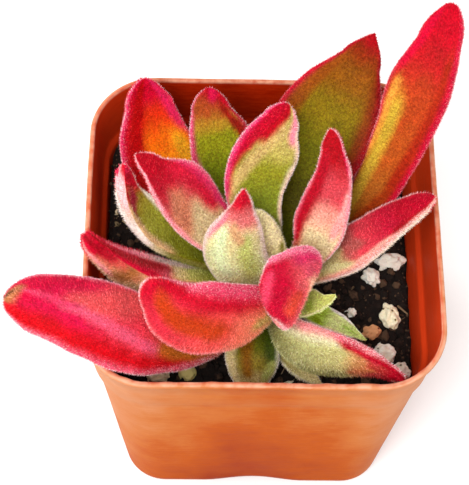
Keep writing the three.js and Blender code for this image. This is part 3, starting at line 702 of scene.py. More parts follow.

# Shape, in millimetres: a leaf leaves the stem at the angle side and the height root, its spine
# runs through path, and its upper face looks towards faces. left and right are its half widths at
# WIDTH_PLACES along it. A low point makes a blunt tip, cup lifts the margins and keel sharpens the
# belly. Colours, from 0 to 255, are of the bare skin under the hairs, matched to what the
# photograph shows at the same place of each leaf. stops run from
# base to tip, each at its share s of the length. tip is the flush: where it starts, how much later
# it starts at the right margin than in the middle, how softly, and its colour. A stroke is painted
# over them from one (s, v) to another, v running from -1 at the left margin to 1 at the right,
# with its reach and colour, and the face that it lies on where that is only one. rim is the colour
# of the left and the right margin, None where the faces run into each other; where it is pale it is
# partly the white hairs and partly a painted glow of hairs seen edge-on against the light. frost is
# how white the hairs are, most of all along the margins, where that too is partly a painted glow.
LEAVES = {
    "heart": dict(
        side=250, root=53.2, path=[(-4.9, -9.2, 61), (-3.6, -3.6, 71)], faces=(0.1, 0.9, -0.5),
        left=[2.4, 4.4, 5.1, 5, 4.1, 2.5], right=[2.4, 4.1, 5, 4.2, 2.4, 1], thick=5, point=0.9,
        cup=0.25, keel=0.4,
        stops=[(0, (200, 210, 140)), (0.4, (220, 230, 168)), (0.68, (220, 208, 150)),
            (0.8, (227, 119, 117))],
        tip=(0.85, -0.04, 0.06, (212, 0, 41)), rim=((227, 201, 192), (227, 201, 192)), frost=0.38,
        strokes=[(0.35, -0.5, 0.62, -0.45, 0.08, (198, 208, 118)),
            (0.45, 0.3, 0.66, 0.5, 0.09, (218, 235, 183)),
            (0.66, -0.3, 0.74, 0, 0.05, (214, 170, 120)),
            (0.64, 0.95, 0.76, 0.75, 0.05, (227, 127, 145))]),
    "heart_back": dict(
        side=340, root=53.2, path=[(0.8, -5.2, 58.5), (-1.5, -3.2, 64)], faces=(-0.8, 0.5, 0),
        left=[1.4, 1.9, 2.4, 2.5, 2.1, 1.4], right=[1.4, 1.9, 2.4, 2.5, 2.1, 1.4], thick=3.2,
        point=0.6, cup=0.3, keel=0.2,
        stops=[(0.3, (212, 208, 136)), (0.6, (246, 240, 189)), (0.9, (252, 244, 187))],
        rim=((252, 250, 216), (252, 237, 212)), frost=0.6,
        strokes=[(0.33, 0.3, 0.45, 0.05, 0.06, (148, 144, 42))]),
    "inner_front_right": dict(
        side=310, root=50, path=[(4.4, -11.7, 57.6), (4, -15.2, 62.3), (-1, -16.5, 63.1)],
        faces=(-0.23, 0.63, -0.47), left=[1.4, 2.2, 3.6, 6.1, 6.5, 5.8],
        right=[1.4, 1.6, 4.5, 7, 7.8, 5.4], thick=4, point=0.5, cup=0.1, keel=0,
        stops=[(0, (236, 220, 176)), (0.66, (246, 196, 156)), (0.74, (240, 96, 104))],
        tip=(0.79, 0, 0.06, (206, 0, 52)), rim=((250, 130, 165), (250, 150, 160)), frost=0.24,
        strokes=[(0.52, -1, 0.7, -0.9, 0.1, (232, 42, 110)),
            (0.6, -0.6, 0.7, -0.5, 0.06, (238, 82, 112)),
            (0.78, 0.1, 0.81, 0.5, 0.045, (232, 76, 56)),
            (0.93, -0.6, 0.98, 0.6, 0.04, (240, 66, 104))]),
    "inner_left": dict(
        side=145, root=53, path=[(-12, -1.5, 62), (-20.2, 4.8, 67)], faces=(0.65, -0.45, 0.6),
        left=[1.8, 3.3, 4.6, 4.6, 3.3, 1.6], right=[1.8, 3.3, 4.7, 6.4, 5.8, 3.1], thick=4.6,
        point=0.65, cup=0.25, keel=0.3,
        stops=[(0.3, (200, 180, 124)), (0.5, (206, 160, 116)), (0.64, (214, 82, 84)),
            (0.76, (206, 20, 48))],
        tip=(0.8, -0.06, 0.08, (200, 0, 34)), rim=((250, 150, 165), (246, 120, 150)), frost=0.26,
        strokes=[(0.36, -0.8, 0.48, 0.1, 0.12, (214, 192, 144)),
            (0.55, -0.7, 0.64, -0.1, 0.09, (208, 130, 96)),
            (0.5, 0.55, 0.75, 0.6, 0.09, (220, 26, 60)),
            (0.32, 0.95, 0.75, 1, 0.08, (236, 46, 110))]),
    "inner_back": dict(
        side=85, root=53, path=[(-1.2, -0.4, 61.5), (-0.4, 4.8, 68), (3.2, 11.2, 72)],
        faces=(0, -0.8, 0.6), left=[1.7, 3.4, 5, 5.4, 4.5, 2.9], right=[1.7, 3.4, 4, 5.2, 5.3, 3.8],
        thick=4.8, point=0.6, cup=0.25, keel=0.3,
        stops=[(0.2, (112, 128, 36)), (0.4, (136, 152, 40)), (0.6, (154, 154, 34)),
            (0.78, (196, 180, 96))],
        tip=(0.86, 0.34, 0.05, (206, 0, 42)), rim=((244, 76, 140), (246, 214, 196)), frost=0.24,
        strokes=[(0.46, -0.85, 0.85, 0.32, 0.055, (210, 184, 112)),
            (0.8, -0.2, 0.97, 0.25, 0.065, (200, 0, 28)), (0.5, -1, 1, -0.95, 0.07, (226, 0, 70)),
            (0.84, 0.8, 0.96, 0.85, 0.06, (248, 150, 170)),
            (0.3, 1, 0.62, 1, 0.05, (220, 212, 160))]),
    "inner_right": dict(
        side=45, root=52.5, path=[(7.9, -5.3, 58), (10.4, 1.4, 66), (9.6, 7.3, 71)],
        faces=(-0.4, -0.7, 0.6), left=[1.6, 3, 4.8, 4.3, 3.1, 2.4],
        right=[1.6, 3, 4.1, 3.7, 3.1, 1.8], thick=4.2, point=0.6, cup=0.3, keel=0.3,
        stops=[(0.2, (214, 186, 136)), (0.35, (230, 214, 166)), (0.48, (236, 168, 148)),
            (0.6, (226, 76, 88))],
        tip=(0.74, 0, 0.1, (190, 0, 22)), rim=((248, 130, 150), (250, 140, 160)), frost=0.24,
        strokes=[(0.3, -0.85, 0.8, -0.6, 0.1, (200, 0, 36)),
            (0.3, -1, 0.8, -1, 0.04, (232, 6, 76)), (0.42, 0.6, 0.6, 0.9, 0.06, (244, 170, 165)),
            (0.78, 0.95, 0.92, 1, 0.05, (222, 16, 84))]),
    "front_left": dict(
        side=225, root=49, path=[(-4, -17.5, 55.8), (-12.2, -19.5, 60), (-16.7, -15.6, 64.9)],
        faces=(0, 0.95, -0.16), left=[3.7, 4.6, 8.1, 9.2, 8.4, 5.7],
        right=[3.7, 4.7, 7.2, 7.7, 6.7, 3.8], thick=6, point=0.49, cup=0.15, keel=0,
        stops=[(0.25, (196, 156, 90)), (0.42, (238, 132, 96)), (0.6, (240, 84, 78)),
            (0.8, (230, 46, 70))],
        tip=(0.9, 0, 0.06, (216, 0, 44)), rim=((240, 76, 120), (252, 150, 150)), frost=0.2,
        strokes=[(0.5, 0.7, 0.85, 0.95, 0.08, (248, 120, 124)),
            (0.62, -0.3, 0.88, -0.22, 0.085, (210, 66, 12)),
            (0.45, -0.95, 1, -0.8, 0.09, (212, 0, 40)),
            (0.33, -0.6, 0.4, -0.4, 0.05, (190, 160, 80)),
            (0.3, 0.6, 0.4, 0.9, 0.06, (220, 190, 140))]),
    "left_upper": dict(
        side=160, root=50, path=[(-15.2, -1, 53.5), (-21, 1.7, 57.4), (-22.3, 6.2, 61.8)],
        faces=(0.85, -0.2, 0.4), left=[1.4, 3, 4.6, 4.5, 2.6, 1],
        right=[1.4, 3, 4.2, 4.2, 3.8, 2.8], thick=5, point=0.6, cup=0.4, keel=0.3,
        stops=[(0.2, (104, 114, 4)), (0.45, (134, 138, 18)), (0.65, (171, 173, 56)),
            (0.8, (173, 151, 43))],
        tip=(0.84, -0.03, 0.05, (229, 0, 48)), rim=(None, (252, 246, 231)), frost=0.28,
        strokes=[(0.52, -1, 0.78, -0.85, 0.08, (205, 171, 121)),
            (0.78, -0.6, 0.82, 0.2, 0.05, (190, 42, 65)),
            (0.35, 0.1, 0.78, 0.98, 0.05, (252, 252, 231)),
            (0.84, -0.8, 0.92, -0.6, 0.06, (206, 6, 44), UPPER),
            (0.2, -0.8, 0.48, -0.6, 0.2, (143, 140, 43), UNDER),
            (0.56, -0.9, 0.6, -0.4, 0.08, (212, 197, 140), UNDER),
            (0.66, -0.9, 0.8, -0.2, 0.09, (252, 248, 236), UNDER),
            (0.84, -1, 0.95, -0.4, 0.09, (252, 206, 208), UNDER),
            (0.96, -0.6, 1, 0.9, 0.03, (236, 20, 80))]),
    "left": dict(
        side=185, root=48, path=[(-18, -7, 51.2), (-28, -4.9, 59.4)], faces=(0.1, 0.65, 0.75),
        left=[1.7, 2.9, 5.2, 5.8, 4.1, 1.9], right=[1.7, 2.9, 4, 4.4, 4, 2.8], thick=6.2, point=0.6,
        cup=0.2, keel=0.3,
        stops=[(0.2, (172, 182, 36)), (0.35, (222, 222, 112)), (0.43, (240, 220, 150)),
            (0.5, (242, 90, 112)), (0.6, (222, 1, 56))],
        tip=(0.9, 0, 0.06, (231, 0, 56)), rim=(None, (252, 194, 205)), frost=0.38,
        strokes=[(0.42, 0.4, 0.62, 0.3, 0.09, (252, 216, 208), UPPER),
            (0.62, 0.3, 0.8, 0.1, 0.07, (252, 134, 160), UPPER),
            (0.54, -0.35, 0.92, -0.8, 0.09, (184, 0, 26), UPPER),
            (0.25, -1, 0.46, -1, 0.04, (251, 151, 130), UPPER),
            (0.1, -0.9, 0.64, -0.2, 0.25, (222, 197, 136), UNDER),
            (0.7, -0.9, 0.74, -0.5, 0.05, (184, 119, 60), UNDER),
            (0.84, -1, 0.98, -0.8, 0.05, (190, 0, 34), UNDER),
            (0.8, -0.45, 0.94, -0.3, 0.05, (252, 162, 162), UNDER),
            (0.62, -0.4, 0.72, -0.2, 0.05, (231, 184, 140), UNDER)]),
    "far_left": dict(
        side=215, root=45,
        path=[(-11.5, -16.2, 45.5), (-18.6, -19.3, 53.2), (-27.4, -19.2, 59.2), (-39.5, -18, 61.5)],
        faces=(0.1, 0.1, -1), left=[2.5, 4.4, 6.3, 6.8, 6.4, 5.6],
        right=[2.5, 4.4, 5.7, 7.4, 6.6, 4.9], thick=6.4, point=0.5, cup=0, keel=0.7,
        stops=[(0.3, (196, 122, 30)), (0.45, (226, 82, 50)), (0.6, (242, 66, 88)),
            (0.8, (224, 8, 76)), (1, (222, 0, 62))],
        rim=((246, 96, 140), (250, 96, 130)), frost=0.22,
        strokes=[(0.58, -0.6, 0.74, -0.1, 0.1, (248, 92, 96)),
            (0.78, -0.8, 0.92, -0.6, 0.08, (222, 0, 66)),
            (0.44, 1, 0.98, 0.75, 0.13, (226, 0, 22)),
            # these two strokes are a painted highlight along the ridge of the keel
            (0.52, 0.5, 0.8, 0.05, 0.035, (244, 96, 130)),
            (0.8, 0.05, 0.97, -0.35, 0.03, (240, 66, 110)),
            (0.36, 0.7, 0.47, 0.5, 0.05, (214, 120, 30)),
            (0.97, -0.5, 1, 0.3, 0.035, (196, 122, 74)),
            (0.985, -0.4, 1, -0.1, 0.014, (110, 60, 26))]),
    "back_left": dict(
        side=125, root=47, path=[(-14.6, 9.4, 50.6), (-19.5, 23.3, 61)], faces=(0.46, -0.66, 0.6),
        left=[2.2, 4.2, 6.3, 7.2, 6.5, 4.2], right=[2.2, 4.2, 6.3, 7.2, 6.2, 5], thick=5, point=0.6,
        cup=0.35, keel=0.3,
        stops=[(0.55, (252, 176, 20)), (0.72, (250, 128, 10)), (0.84, (246, 60, 14)),
            (0.93, (228, 0, 50))],
        tip=(0.95, 0, 0.04, (214, 0, 50)), rim=((236, 46, 110), (240, 46, 96)), frost=0.16,
        strokes=[(0.3, -0.9, 0.86, -0.9, 0.1, (226, 0, 40)),
            (0.62, -0.6, 0.95, -0.35, 0.08, (208, 0, 6)), (0.8, 0.9, 1, 0.6, 0.06, (242, 36, 100)),
            (0.56, 0.7, 0.7, 0.6, 0.06, (238, 176, 30))]),
    "back": dict(
        side=112, root=50, path=[(-5, 8, 55.5), (-9, 22, 60.5)], faces=(0.2, -0.8, 0.6),
        left=[1.8, 3.4, 5.2, 5.9, 5.2, 3.9], right=[1.8, 3.4, 5.2, 5.8, 4.9, 2.9], thick=4.4,
        point=0.65, cup=0.2, keel=0.3,
        stops=[(0.5, (116, 134, 8)), (0.72, (146, 148, 14)), (0.8, (178, 140, 34)),
            (0.87, (188, 84, 30))],
        tip=(0.91, -0.06, 0.04, (200, 0, 34)), rim=((238, 76, 130), (206, 0, 56)), frost=0.2,
        strokes=[(0.7, 0.75, 0.86, 0.5, 0.06, (164, 26, 6)), (0.95, 0, 1, 0.6, 0.05, (222, 6, 74)),
            (0.4, -0.7, 0.62, -1, 0.05, (244, 130, 156)), (0.62, -1, 0.8, -1, 0.05, (214, 56, 90)),
            (0.68, 1, 0.9, 1, 0.06, (190, 0, 44))]),
    "back_broad": dict(
        side=62, root=47.5, path=[(7, 8, 60), (17.2, 25, 72)], faces=(-0.2, -0.8, 0.6),
        left=[2, 4.5, 7.1, 8.5, 6.6, 3.3], right=[2, 4.5, 7.1, 8.1, 7, 4.1], thick=5, point=1.05,
        cup=0.2, keel=0.3,
        stops=[(0.1, (100, 112, 6)), (0.3, (94, 90, 2)), (0.5, (130, 130, 12)),
            (0.65, (146, 124, 8)), (0.8, (156, 94, 8)), (0.95, (166, 40, 10))],
        tip=(0.95, 0, 0.04, (184, 0, 20)), rim=((212, 2, 46), (176, 0, 24)), frost=0.05,
        strokes=[(0.4, 0.8, 0.8, 0.8, 0.06, (150, 66, 8)),
            (0.45, -1.05, 1, -1.05, 0.075, (196, 0, 34)),
            (0.4, 1.05, 0.95, 1.05, 0.07, (168, 0, 20)),
            (0.5, -0.75, 0.84, -0.7, 0.05, (166, 84, 8))]),
    "back_right_long": dict(
        side=25, root=45, path=[(13.4, 1.1, 52), (21.6, 9.9, 66.8), (28.3, 24.9, 80)],
        faces=(-0.5, -0.6, 0.6), left=[1.4, 2.6, 3.6, 4.9, 6, 4.1],
        right=[1.4, 2.6, 4.3, 4.9, 5, 3.9], thick=5, point=0.5, cup=0.15, keel=0.3,
        stops=[(0.26, (160, 104, 20)), (0.4, (194, 112, 34)), (0.55, (198, 92, 26)),
            (0.7, (202, 74, 24)), (0.84, (206, 24, 32))],
        tip=(0.88, 0, 0.05, (212, 0, 36)), rim=((226, 26, 70), (224, 10, 70)), frost=0.08,
        strokes=[(0.3, 0.3, 0.45, 0.8, 0.07, (178, 66, 10)),
            (0.5, 0.65, 0.8, 0.8, 0.08, (186, 42, 8)),
            (0.3, -0.5, 0.64, -0.5, 0.09, (204, 172, 52)),
            (0.5, -0.9, 0.72, -0.7, 0.04, (226, 160, 60)),
            (0.4, -1, 0.54, -1, 0.03, (150, 10, 16)),
            (0.82, -0.85, 0.95, -0.6, 0.06, (228, 0, 56)), (0.4, 1, 1, 1, 0.06, (216, 0, 44))]),
    "right": dict(
        side=5, root=48.5, path=[(15, -5.2, 57.5), (26.4, 0.4, 63)], faces=(-0.4, 0.1, 0.9),
        left=[1.7, 3.1, 4.4, 4.4, 4, 3.1], right=[1.7, 3.1, 4.4, 3.6, 2.6, 1.9], thick=5, point=0.5,
        cup=0.15, keel=0.4,
        stops=[(0.25, (184, 170, 104)), (0.38, (194, 176, 118)), (0.45, (204, 96, 90)),
            (0.54, (234, 66, 84)), (0.7, (214, 22, 60)), (0.8, (206, 8, 44))],
        tip=(0.85, 0, 0.06, (196, 0, 42)), rim=((250, 180, 180), (236, 150, 140)), frost=0.27,
        strokes=[(0.3, 0.5, 0.42, 0.9, 0.06, (204, 198, 140)),
            (0.42, -0.6, 0.5, 0.3, 0.06, (196, 96, 90)),
            (0.75, 0.8, 0.95, 0.9, 0.06, (186, 6, 30)),
            (0.5, 0.98, 0.66, 0.98, 0.05, (236, 180, 160)),
            (0.1, -0.6, 0.9, 0.4, 0.5, (240, 222, 190), UNDER),
            (0.9, -0.6, 1, 0.6, 0.1, (226, 46, 80), UNDER)]),
    "front_right": dict(
        side=300, root=46, path=[(6, -18.6, 49), (12.9, -20.9, 50), (22.3, -24.2, 48)],
        faces=(0.1, 1, -0.2), left=[2.3, 4.4, 5.8, 5.6, 4.2, 2.6],
        right=[2.3, 4.4, 5.8, 4.4, 2.6, 1.6], thick=5, point=0.7, cup=0.15, keel=0.3,
        stops=[(0.25, (160, 160, 90)), (0.45, (192, 194, 126)), (0.6, (204, 200, 128)),
            (0.72, (208, 142, 86)), (0.8, (206, 66, 56))],
        tip=(0.86, 0, 0.05, (212, 6, 44)), rim=((226, 222, 176), (244, 124, 140)), frost=0.26,
        strokes=[(0.3, -0.6, 0.6, -0.5, 0.1, (174, 176, 96)),
            (0.35, 0.9, 0.55, 0.9, 0.06, (222, 220, 176)),
            (0.6, 0.98, 0.8, 0.7, 0.04, (226, 52, 76)),
            (0.7, -0.2, 0.78, 0.1, 0.05, (204, 120, 66)),
            (0.64, 0.85, 1, 0.7, 0.04, (206, 0, 40))]),
    "front_low": dict(
        side=265, root=44, path=[(-1.4, -17.2, 44.9), (-1, -24.2, 40.9)], faces=(0, 0.5, 0.9),
        left=[1.6, 2.9, 4.2, 4.6, 4.1, 3], right=[1.6, 2.9, 4.2, 4.5, 3.9, 2.8], thick=4.4,
        point=0.5, cup=0.2, keel=0.3,
        stops=[(0.25, (84, 92, 11)), (0.5, (114, 117, 18)), (0.7, (150, 132, 40)),
            (0.8, (185, 165, 101))],
        tip=(0.92, 0, 0.05, (216, 114, 66)), rim=((224, 227, 185), (216, 209, 154)), frost=0.26,
        strokes=[(0.35, -0.7, 0.6, -0.8, 0.12, (66, 84, 7)),
            (0.5, 0.2, 0.75, 0.2, 0.07, (154, 99, 11)),
            (0.55, 0.8, 0.8, 0.9, 0.07, (220, 202, 143)),
            (0.7, -0.8, 0.8, -0.6, 0.07, (176, 183, 95))]),
    "front_right_low": dict(
        side=290, root=43, path=[(5.2, -18, 42.4), (9.7, -22.4, 42)], faces=(0, 0.3, 0.9),
        left=[1.4, 2.1, 2.7, 2.6, 2, 1.2], right=[1.4, 2.1, 2.7, 2.6, 2, 1.2], thick=2.4, point=0.7,
        cup=0.2, keel=0.2,
        stops=[(0.3, (156, 151, 65)), (0.6, (204, 192, 113)), (0.85, (247, 240, 168))],
        rim=((252, 252, 204), (252, 252, 204)), frost=0.34,
        strokes=[]),
    "sprout_upper": dict(
        side=340, root=47, path=[(6.9, -14.2, 53.6), (11, -14.1, 57.2)], faces=(-0.5, 0.3, 0.8),
        left=[1.2, 2.1, 3, 3.1, 2.5, 1.5], right=[1.2, 2.1, 3, 3.1, 2.5, 1.5], thick=2, point=0.7,
        cup=0.3, keel=0.2,
        stops=[(0.3, (186, 212, 91)), (0.5, (205, 229, 114)), (0.85, (225, 242, 134))],
        rim=((244, 252, 184), (244, 252, 184)), frost=0.3,
        strokes=[(0.6, -0.2, 0.7, 0.4, 0.06, (186, 218, 82))]),
    "sprout_right": dict(
        side=330, root=44, path=[(11, -12.9, 46), (16.9, -15.8, 44.6)], faces=(-0.2, 0.4, 0.9),
        left=[1.2, 2, 2.6, 2.5, 2, 1.2], right=[1.2, 2, 2.6, 2.5, 2, 1.2], thick=2, point=0.7,
        cup=0.2, keel=0.2,
        stops=[(0.3, (179, 220, 56)), (0.45, (193, 231, 74)), (0.62, (235, 249, 164)),
            (0.8, (213, 240, 139))],
        rim=((252, 252, 235), (252, 252, 202)), frost=0.42,
        strokes=[(0.44, 0.5, 0.5, 0.9, 0.05, (157, 186, 22)),
            (0.55, -0.9, 0.75, -0.85, 0.06, (252, 252, 249)),
            (0.6, 0.9, 0.75, 0.9, 0.05, (252, 233, 170)),
            (0.74, 0, 0.84, 0.1, 0.05, (170, 213, 83))]),
}


def stem_at(z):
    t = clamp((z - STEM_SOIL) / (STEM_TOP - STEM_SOIL), -1, 1)
    x, y = mix(STEM_FOOT[0], STEM_HEAD[0], t), mix(STEM_FOOT[1], STEM_HEAD[1], t)
    return x, y, mix(STEM_RADII[0], STEM_RADII[1], max(0, t))


def spine_of(leaf):
    """Close points along the smooth curve through a leaf's root and its path, and their lengths."""
    x, y, radius = stem_at(leaf["root"])
    angle, away = math.radians(leaf["side"]), radius + MIX_GAP
    points = [Vector((x + away * math.cos(angle), y + away * math.sin(angle), leaf["root"]))]
    points += [Vector(p) for p in leaf["path"]]
    last = len(points) - 1
    spine = []
    for i in range(SPINE_STEPS + 1):
        t = i / SPINE_STEPS * last
        place = Vector((0, 0, 0))
        for k, p in enumerate(points):
            weight = 1.0
            for j in range(last + 1):
                if j != k:
                    weight *= (t - j) / (k - j)
            place += p * weight
        spine.append(place)
    lengths = [0.0]
    for a, b in zip(spine, spine[1:]):
        lengths.append(lengths[-1] + (b - a).length)
    return spine, lengths


def half_width(widths, s, point):
    """The half width at a share s of a blade: a curve through the given ones, then the tip."""
    last = len(WIDTH_PLACES) - 1
    if s >= WIDTH_PLACES[last]:
        t = (s - WIDTH_PLACES[last]) / (1 - WIDTH_PLACES[last])
        return widths[last] * max(0.0, 1 - t ** TIP_CURVE) ** point
    i = max(k for k in range(last) if WIDTH_PLACES[k] <= s)

    def slope(k):
        a, b = max(0, k - 1), min(last, k + 1)
        return (widths[b] - widths[a]) / (WIDTH_PLACES[b] - WIDTH_PLACES[a])

    span = WIDTH_PLACES[i + 1] - WIDTH_PLACES[i]
    t = (s - WIDTH_PLACES[i]) / span
    start = widths[i] * (1 + 2 * t) * (1 - t) ** 2 + slope(i) * span * t * (1 - t) ** 2
    return start + widths[i + 1] * t * t * (3 - 2 * t) - slope(i + 1) * span * t * t * (1 - t)


def paint_over(colour, chart, share):
    """A colour, as the light it gives back, with a share of a chart's colour laid over it."""
    light = [c / 255 / 12.92 if c < 10 else ((c / 255 + 0.055) / 1.055) ** 2.4 for c in chart]
    return tuple(mix(a, b, share) for a, b in zip(colour or light, light))


def stroke_distance(s, v, stroke):
    """How far a place on a leaf lies from a stroke, in shares of the length."""
    ax, ay, bx, by = stroke[0], stroke[1] * BREADTH, stroke[2], stroke[3] * BREADTH
    x, y = s, v * BREADTH
    long_way = (bx - ax) ** 2 + (by - ay) ** 2
    t = clamp(((x - ax) * (bx - ax) + (y - ay) * (by - ay)) / long_way) if long_way else 0.0
    return math.hypot(x - mix(ax, bx, t), y - mix(ay, by, t))


def skin_colour(leaf, s, v, face, place):
    """The skin's colour at a share s of the length and v of the half width, and its frost."""
    mottle = noise.fractal(place * 0.4, 0.9, 2.0, 4)
    fine = noise.noise(place * 1.9)
    along = s + 0.025 * mottle + 0.012 * fine
    stops = leaf["stops"]
    colour = paint_over(None, stops[0][1], 0.0)
    for (low, before), (high, after) in zip(stops, stops[1:]):
        if along > low:
            colour = paint_over(paint_over(None, before, 0.0), after, smooth(low, high, along))
    if "tip" in leaf:
        start, later, soft, chart = leaf["tip"]
        start += later * v
        colour = paint_over(colour, chart, smooth(start - soft, start + soft, along))
    for stroke in leaf["strokes"]:
        if len(stroke) == 6 or stroke[6] == face:
            near = stroke_distance(s, v, stroke) / stroke[4] + 0.2 * mottle + 0.1 * fine
            colour = paint_over(colour, stroke[5], smooth(1.3, 0.35, near))
    # the margins take the rim colour: where pale, partly the white hairs and partly painted glow
    chart = leaf["rim"][v > 0]
    rim = 0.0
    if chart:
        rim = smooth(0.82, 1.0, abs(v) + 0.04 * mottle) * smooth(0.1, 0.35, s)
        colour = paint_over(colour, chart, 0.85 * rim)
    # hairs whitest along the margins: partly their own white, partly painted glow seen edge-on
    frost = clamp(leaf["frost"] * (0.1 + 2.4 * rim) + 0.8 * min(colour))
    strength = mix(DEEP_PAINT, PALE_PAINT, smooth(0.02, 0.35, colour[1]))
    strength = strength * (1 + 0.16 * fine + 0.12 * mottle)
    return tuple(clamp(c * strength) for c in colour), frost


def blade_mesh(name, leaf):
    """A leaf's skin, each point with its colour, frost, how its hairs crowd and how they lie."""
    spine, lengths = spine_of(leaf)
    facing = Vector(leaf["faces"])
    widest = max(a + b for a, b in zip(leaf["left"], leaf["right"]))
    rings, tints, frosts, crowds, lays = [], [], [], [], []
    for ring in range(BLADE_RINGS):
        t = ring / (BLADE_RINGS - 1)
        s = min(LAST_RING, mix(t, 1 - (1 - t) ** 2, smooth(0.55, 1.0, t)))
        target = s * lengths[-1]
        i = int(clamp(np.searchsorted(lengths, target), 1, SPINE_STEPS))
        between = (target - lengths[i - 1]) / (lengths[i] - lengths[i - 1])
        centre = spine[i - 1].lerp(spine[i], between)
        along = (spine[i] - spine[i - 1]).normalized()
        face = (facing - along * facing.dot(along)).normalized()
        across = along.cross(face)
        left, right = (half_width(leaf[side], s, leaf["point"]) for side in ("left", "right"))
        share = (left + right) / widest
        depth = leaf["thick"] * share ** 0.65
        lift = leaf["cup"] * (left + right) / 2
        points = []
        for k in range(BLADE_SIDES):
            angle = 2 * math.pi * k / BLADE_SIDES
            v, h = math.cos(angle), -math.sin(angle)
            belly = mix(abs(h), 1 - abs(v) ** 1.25, leaf["keel"] * 0.9)
            rise = UPPER_SHARE * depth * h if h > 0 else -LOWER_SHARE * depth * belly
            place = centre + across * ((right if v > 0 else left) * v)
            place = place + face * (rise + lift * (v * v - 0.5))
            swell = noise.noise(place * 0.22) * 0.2 + noise.noise(place * 0.7) * 0.06 - SKIN_DEPTH
            upright = face * (1 if h > 0 else -1) * abs(h)
            outward = across * v * 0.6 + upright + along * smooth(0.9, 1.0, s) * 0.6
            place = place + outward.normalized() * swell * min(1.0, share * 2.5)
            points.append(tuple(place))
            colour, frost = skin_colour(leaf, s, v, UPPER if h > 0 else UNDER, place)
            tints.append((*colour, 1.0))
            frosts.append(frost)
            crowds.append(smooth(0.75, 1.0, abs(v)) * smooth(0.15, 0.35, s))
            lays.append(tuple(along))
        rings.append(points)
    data = ring_shell("leaf_" + name, rings)
    for values in (tints, frosts, crowds, lays):
        values += [values[0], values[-1]]
    mark_points(data, "FLOAT_COLOR", "color", tint=tints)
    mark_points(data, "FLOAT", "value", frost=frosts, crowd=crowds)
    mark_points(data, "FLOAT_VECTOR", "vector", lay=lays)
    return data


def leaf_skin():
    """The painted colour, broken up by fine flecks, waxy and a little translucent."""
    material, nodes, shader = new_material("leaf_skin")
    place = nodes.place()
    share = nodes.remap(nodes.cloud(place, 3.2, 3.0, 0.65), 0.34, 0.66)
    flecks = nodes.blend(share, (0.56, 0.44, 0.42), (1.14, 1.14, 1.14), "VECTOR")
    nodes.feed(shader, {
        "Base Color": nodes.vectors("MULTIPLY", {0: nodes.mark("tint", "Color"), 1: flecks}),
        "Normal": nodes.bump(nodes.cloud(place, 5.5, 2.0), 0.4, 0.08),
        "Roughness": 0.55, "IOR": 1.15, "Subsurface Weight": 0.08,
        "Subsurface Radius": (1.0, 0.3, 0.12), "Subsurface Scale": 0.8 * MM,
        "Sheen Weight": 0.06, "Sheen Roughness": 0.5, "Sheen Tint": (1.0, 0.85, 0.85, 1.0),
    })
    return material


skin = leaf_skin()
leaf_blades = {}
for name, leaf in LEAVES.items():
    blade = add_piece("leaf_" + name + "_blade", blade_mesh(name, leaf), skin)
    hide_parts("leaf_" + name)
    leaf_blades[name] = blade

# Velvet: short stiff hairs that stand all over each leaf and lean towards its tip. Each hair is a
# slim three-sided needle. They are whitest and closest along the margins, where they draw a pale
# outline, partly their own white and partly a painted glow of hairs seen edge-on against the
# light, and take the colour of the skin elsewhere, painted brighter as light through them.
HAIR_LENGTH, HAIR_THICKNESS = 0.54, 0.1
HAIRS_PER_SQUARE_MM, MARGIN_CROWD = 14.0, 3.0
LEAN, UNRULY = 0.55, 0.4
YOUNG_SHARE = 0.5


def velvet_tree(material):
    """Hairs on a leaf, closer, shorter and slimmer along its margins."""
    nodes, given = growth_tree("velvet", "Density", "Length")
    crowd = nodes.out("GeometryNodeInputNamedAttribute", {"Name": "crowd"}, data_type="FLOAT")
    lay = nodes.out("GeometryNodeInputNamedAttribute", {"Name": "lay"}, data_type="FLOAT_VECTOR")
    closer = nodes.remap(crowd, 0, 1, 1, MARGIN_CROWD)
    drop = drop_points(nodes, given, nodes.math("MULTIPLY", closer, given["Density"]))
    lean = nodes.vectors("SCALE", {0: lay, "Scale": LEAN})
    stray = nodes.chance((-1.0,) * 3, (1.0,) * 3, 21)
    wild = nodes.vectors("SCALE", {0: stray, "Scale": UNRULY})
    heading = nodes.vectors("ADD", {0: nodes.vectors("ADD", {0: drop["Normal"], 1: lean}), 1: wild})
    slim = nodes.remap(crowd, 0, 1, 1, 0.7)
    tall = nodes.math("MULTIPLY", nodes.chance(0.45, 1.15, 23), nodes.remap(crowd, 0, 1, 1, 0.62))
    cone = {"Vertices": 3, "Side Segments": 1, "Radius Top": 0.0, "Depth": given["Length"]}
    cone["Radius Bottom"] = HAIR_THICKNESS / 2 * MM
    needle = nodes.out("GeometryNodeMeshCone", cone, "Mesh", fill_type="NONE")
    height = nodes.out("ShaderNodeSeparateXYZ", {0: nodes.out("GeometryNodeInputPosition")}, "Z")
    upward = nodes.math("DIVIDE", height, given["Length"])
    hairs = {
        "Points": drop["Points"], "Instance": nodes.store(needle, "tipward", upward, "POINT"),
        "Rotation": nodes.out("FunctionNodeAlignRotationToVector", {"Vector": heading}, axis="Z"),
        "Scale": nodes.out("ShaderNodeCombineXYZ", {"X": slim, "Y": slim, "Z": tall}),
    }
    return grow_bits(nodes, hairs, "chalk", nodes.chance(0.0, 1.0, 31), material)


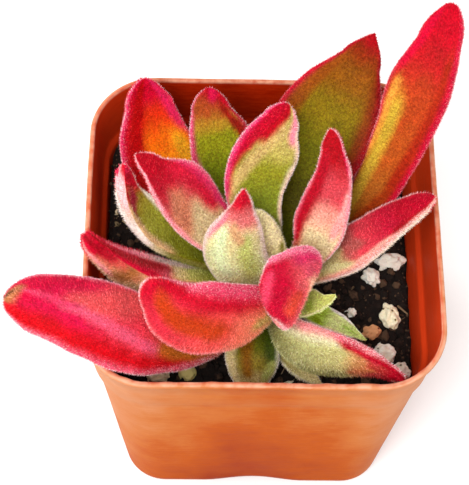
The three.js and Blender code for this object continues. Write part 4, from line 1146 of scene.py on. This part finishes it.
def velvet_material():
    """The skin's colour, whitened by the frost towards the tips, some hairs more than others.

    Brighter than the skin and whiter at the tips is painted glow of light through the hairs,
    besides a few hairs that are really paler.
    """
    material, nodes, shader = new_material("velvet_hair")
    rare = nodes.math("POWER", nodes.mark("chalk"), 2.6)
    even = nodes.math("MULTIPLY", nodes.mark("frost"), nodes.remap(rare, 0, 1, 0.15, 3.0))
    # painted glow: hairs whiter towards their tips
    painted_tip_glow = nodes.remap(nodes.mark("tipward"), 0, 1, 0.5, 1.5)
    white = nodes.math("MULTIPLY", even, painted_tip_glow, use_clamp=True)
    # painted glow: hairs brighter than the skin, most of all the few really paler ones
    pale_hairs_and_glow = nodes.remap(rare, 0, 1, 0.95, 2.2)
    lit = nodes.vectors("SCALE", {0: nodes.mark("tint", "Color"), "Scale": pale_hairs_and_glow})
    nodes.feed(shader, {
        "Base Color": nodes.blend(white, lit, (0.98, 0.86, 0.84, 1.0)),
        "Roughness": 0.6, "IOR": 1.1,
    })
    return material


velvet = velvet_tree(velvet_material())
for number, (name, blade) in enumerate(leaf_blades.items()):
    bare = name.startswith("sprout")
    share = YOUNG_SHARE if bare else 1.0
    shape = grown(
        "leaf_" + name + "_velvet", blade.data, velvet, Seed=number + 1,
        Density=HAIRS_PER_SQUARE_MM * share / (MM * MM), Length=HAIR_LENGTH * share * MM)
    fur = add_piece("leaf_" + name + "_velvet", shape)
    for piece in (blade, fur):
        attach(piece, "root")

# Studio: a plain white floor, a large soft light overhead in front and a weaker one from the left.
bpy.ops.mesh.primitive_plane_add(size=4.0, location=(0, 0, -0.0002))
floor = bpy.context.object
floor.name = "floor"
floor_finish, nodes, shader = new_material("white_floor")
floor_grain = nodes.cloud(nodes.place(), 0.03, 3.0, 0.5)
nodes.feed(shader, {
    "Base Color": nodes.ramp(floor_grain, (0.3, (0.9, 0.9, 0.9)), (0.7, (0.94, 0.94, 0.94))),
    "Roughness": 0.7,
})
floor.data.materials.append(floor_finish)

world = bpy.data.worlds.new("studio")
world.use_nodes = True
Nodes(world.node_tree).feed(
    world.node_tree.nodes["Background"], {"Color": (1.0, 0.99, 0.98, 1.0), "Strength": 1.0})
bpy.context.scene.world = world


def soft_light(name, place, aim, size, power):
    data = bpy.data.lights.new(name, "AREA")
    data.shape = "DISK"
    data.size = size
    data.energy = power
    light = bpy.data.objects.new(name, data)
    light.location = place
    light.rotation_euler = (Vector(aim) - Vector(place)).to_track_quat("-Z", "Y").to_euler()
    bpy.context.scene.collection.objects.link(light)


soft_light("key_light", (-0.25, -0.45, 0.75), (0, 0, 0.04), 0.5, 6.4)
soft_light("side_light", (-0.7, 0.25, 0.45), (0, 0, 0.05), 0.4, 2.2)
bpy.context.scene.view_settings.view_transform = "Standard"
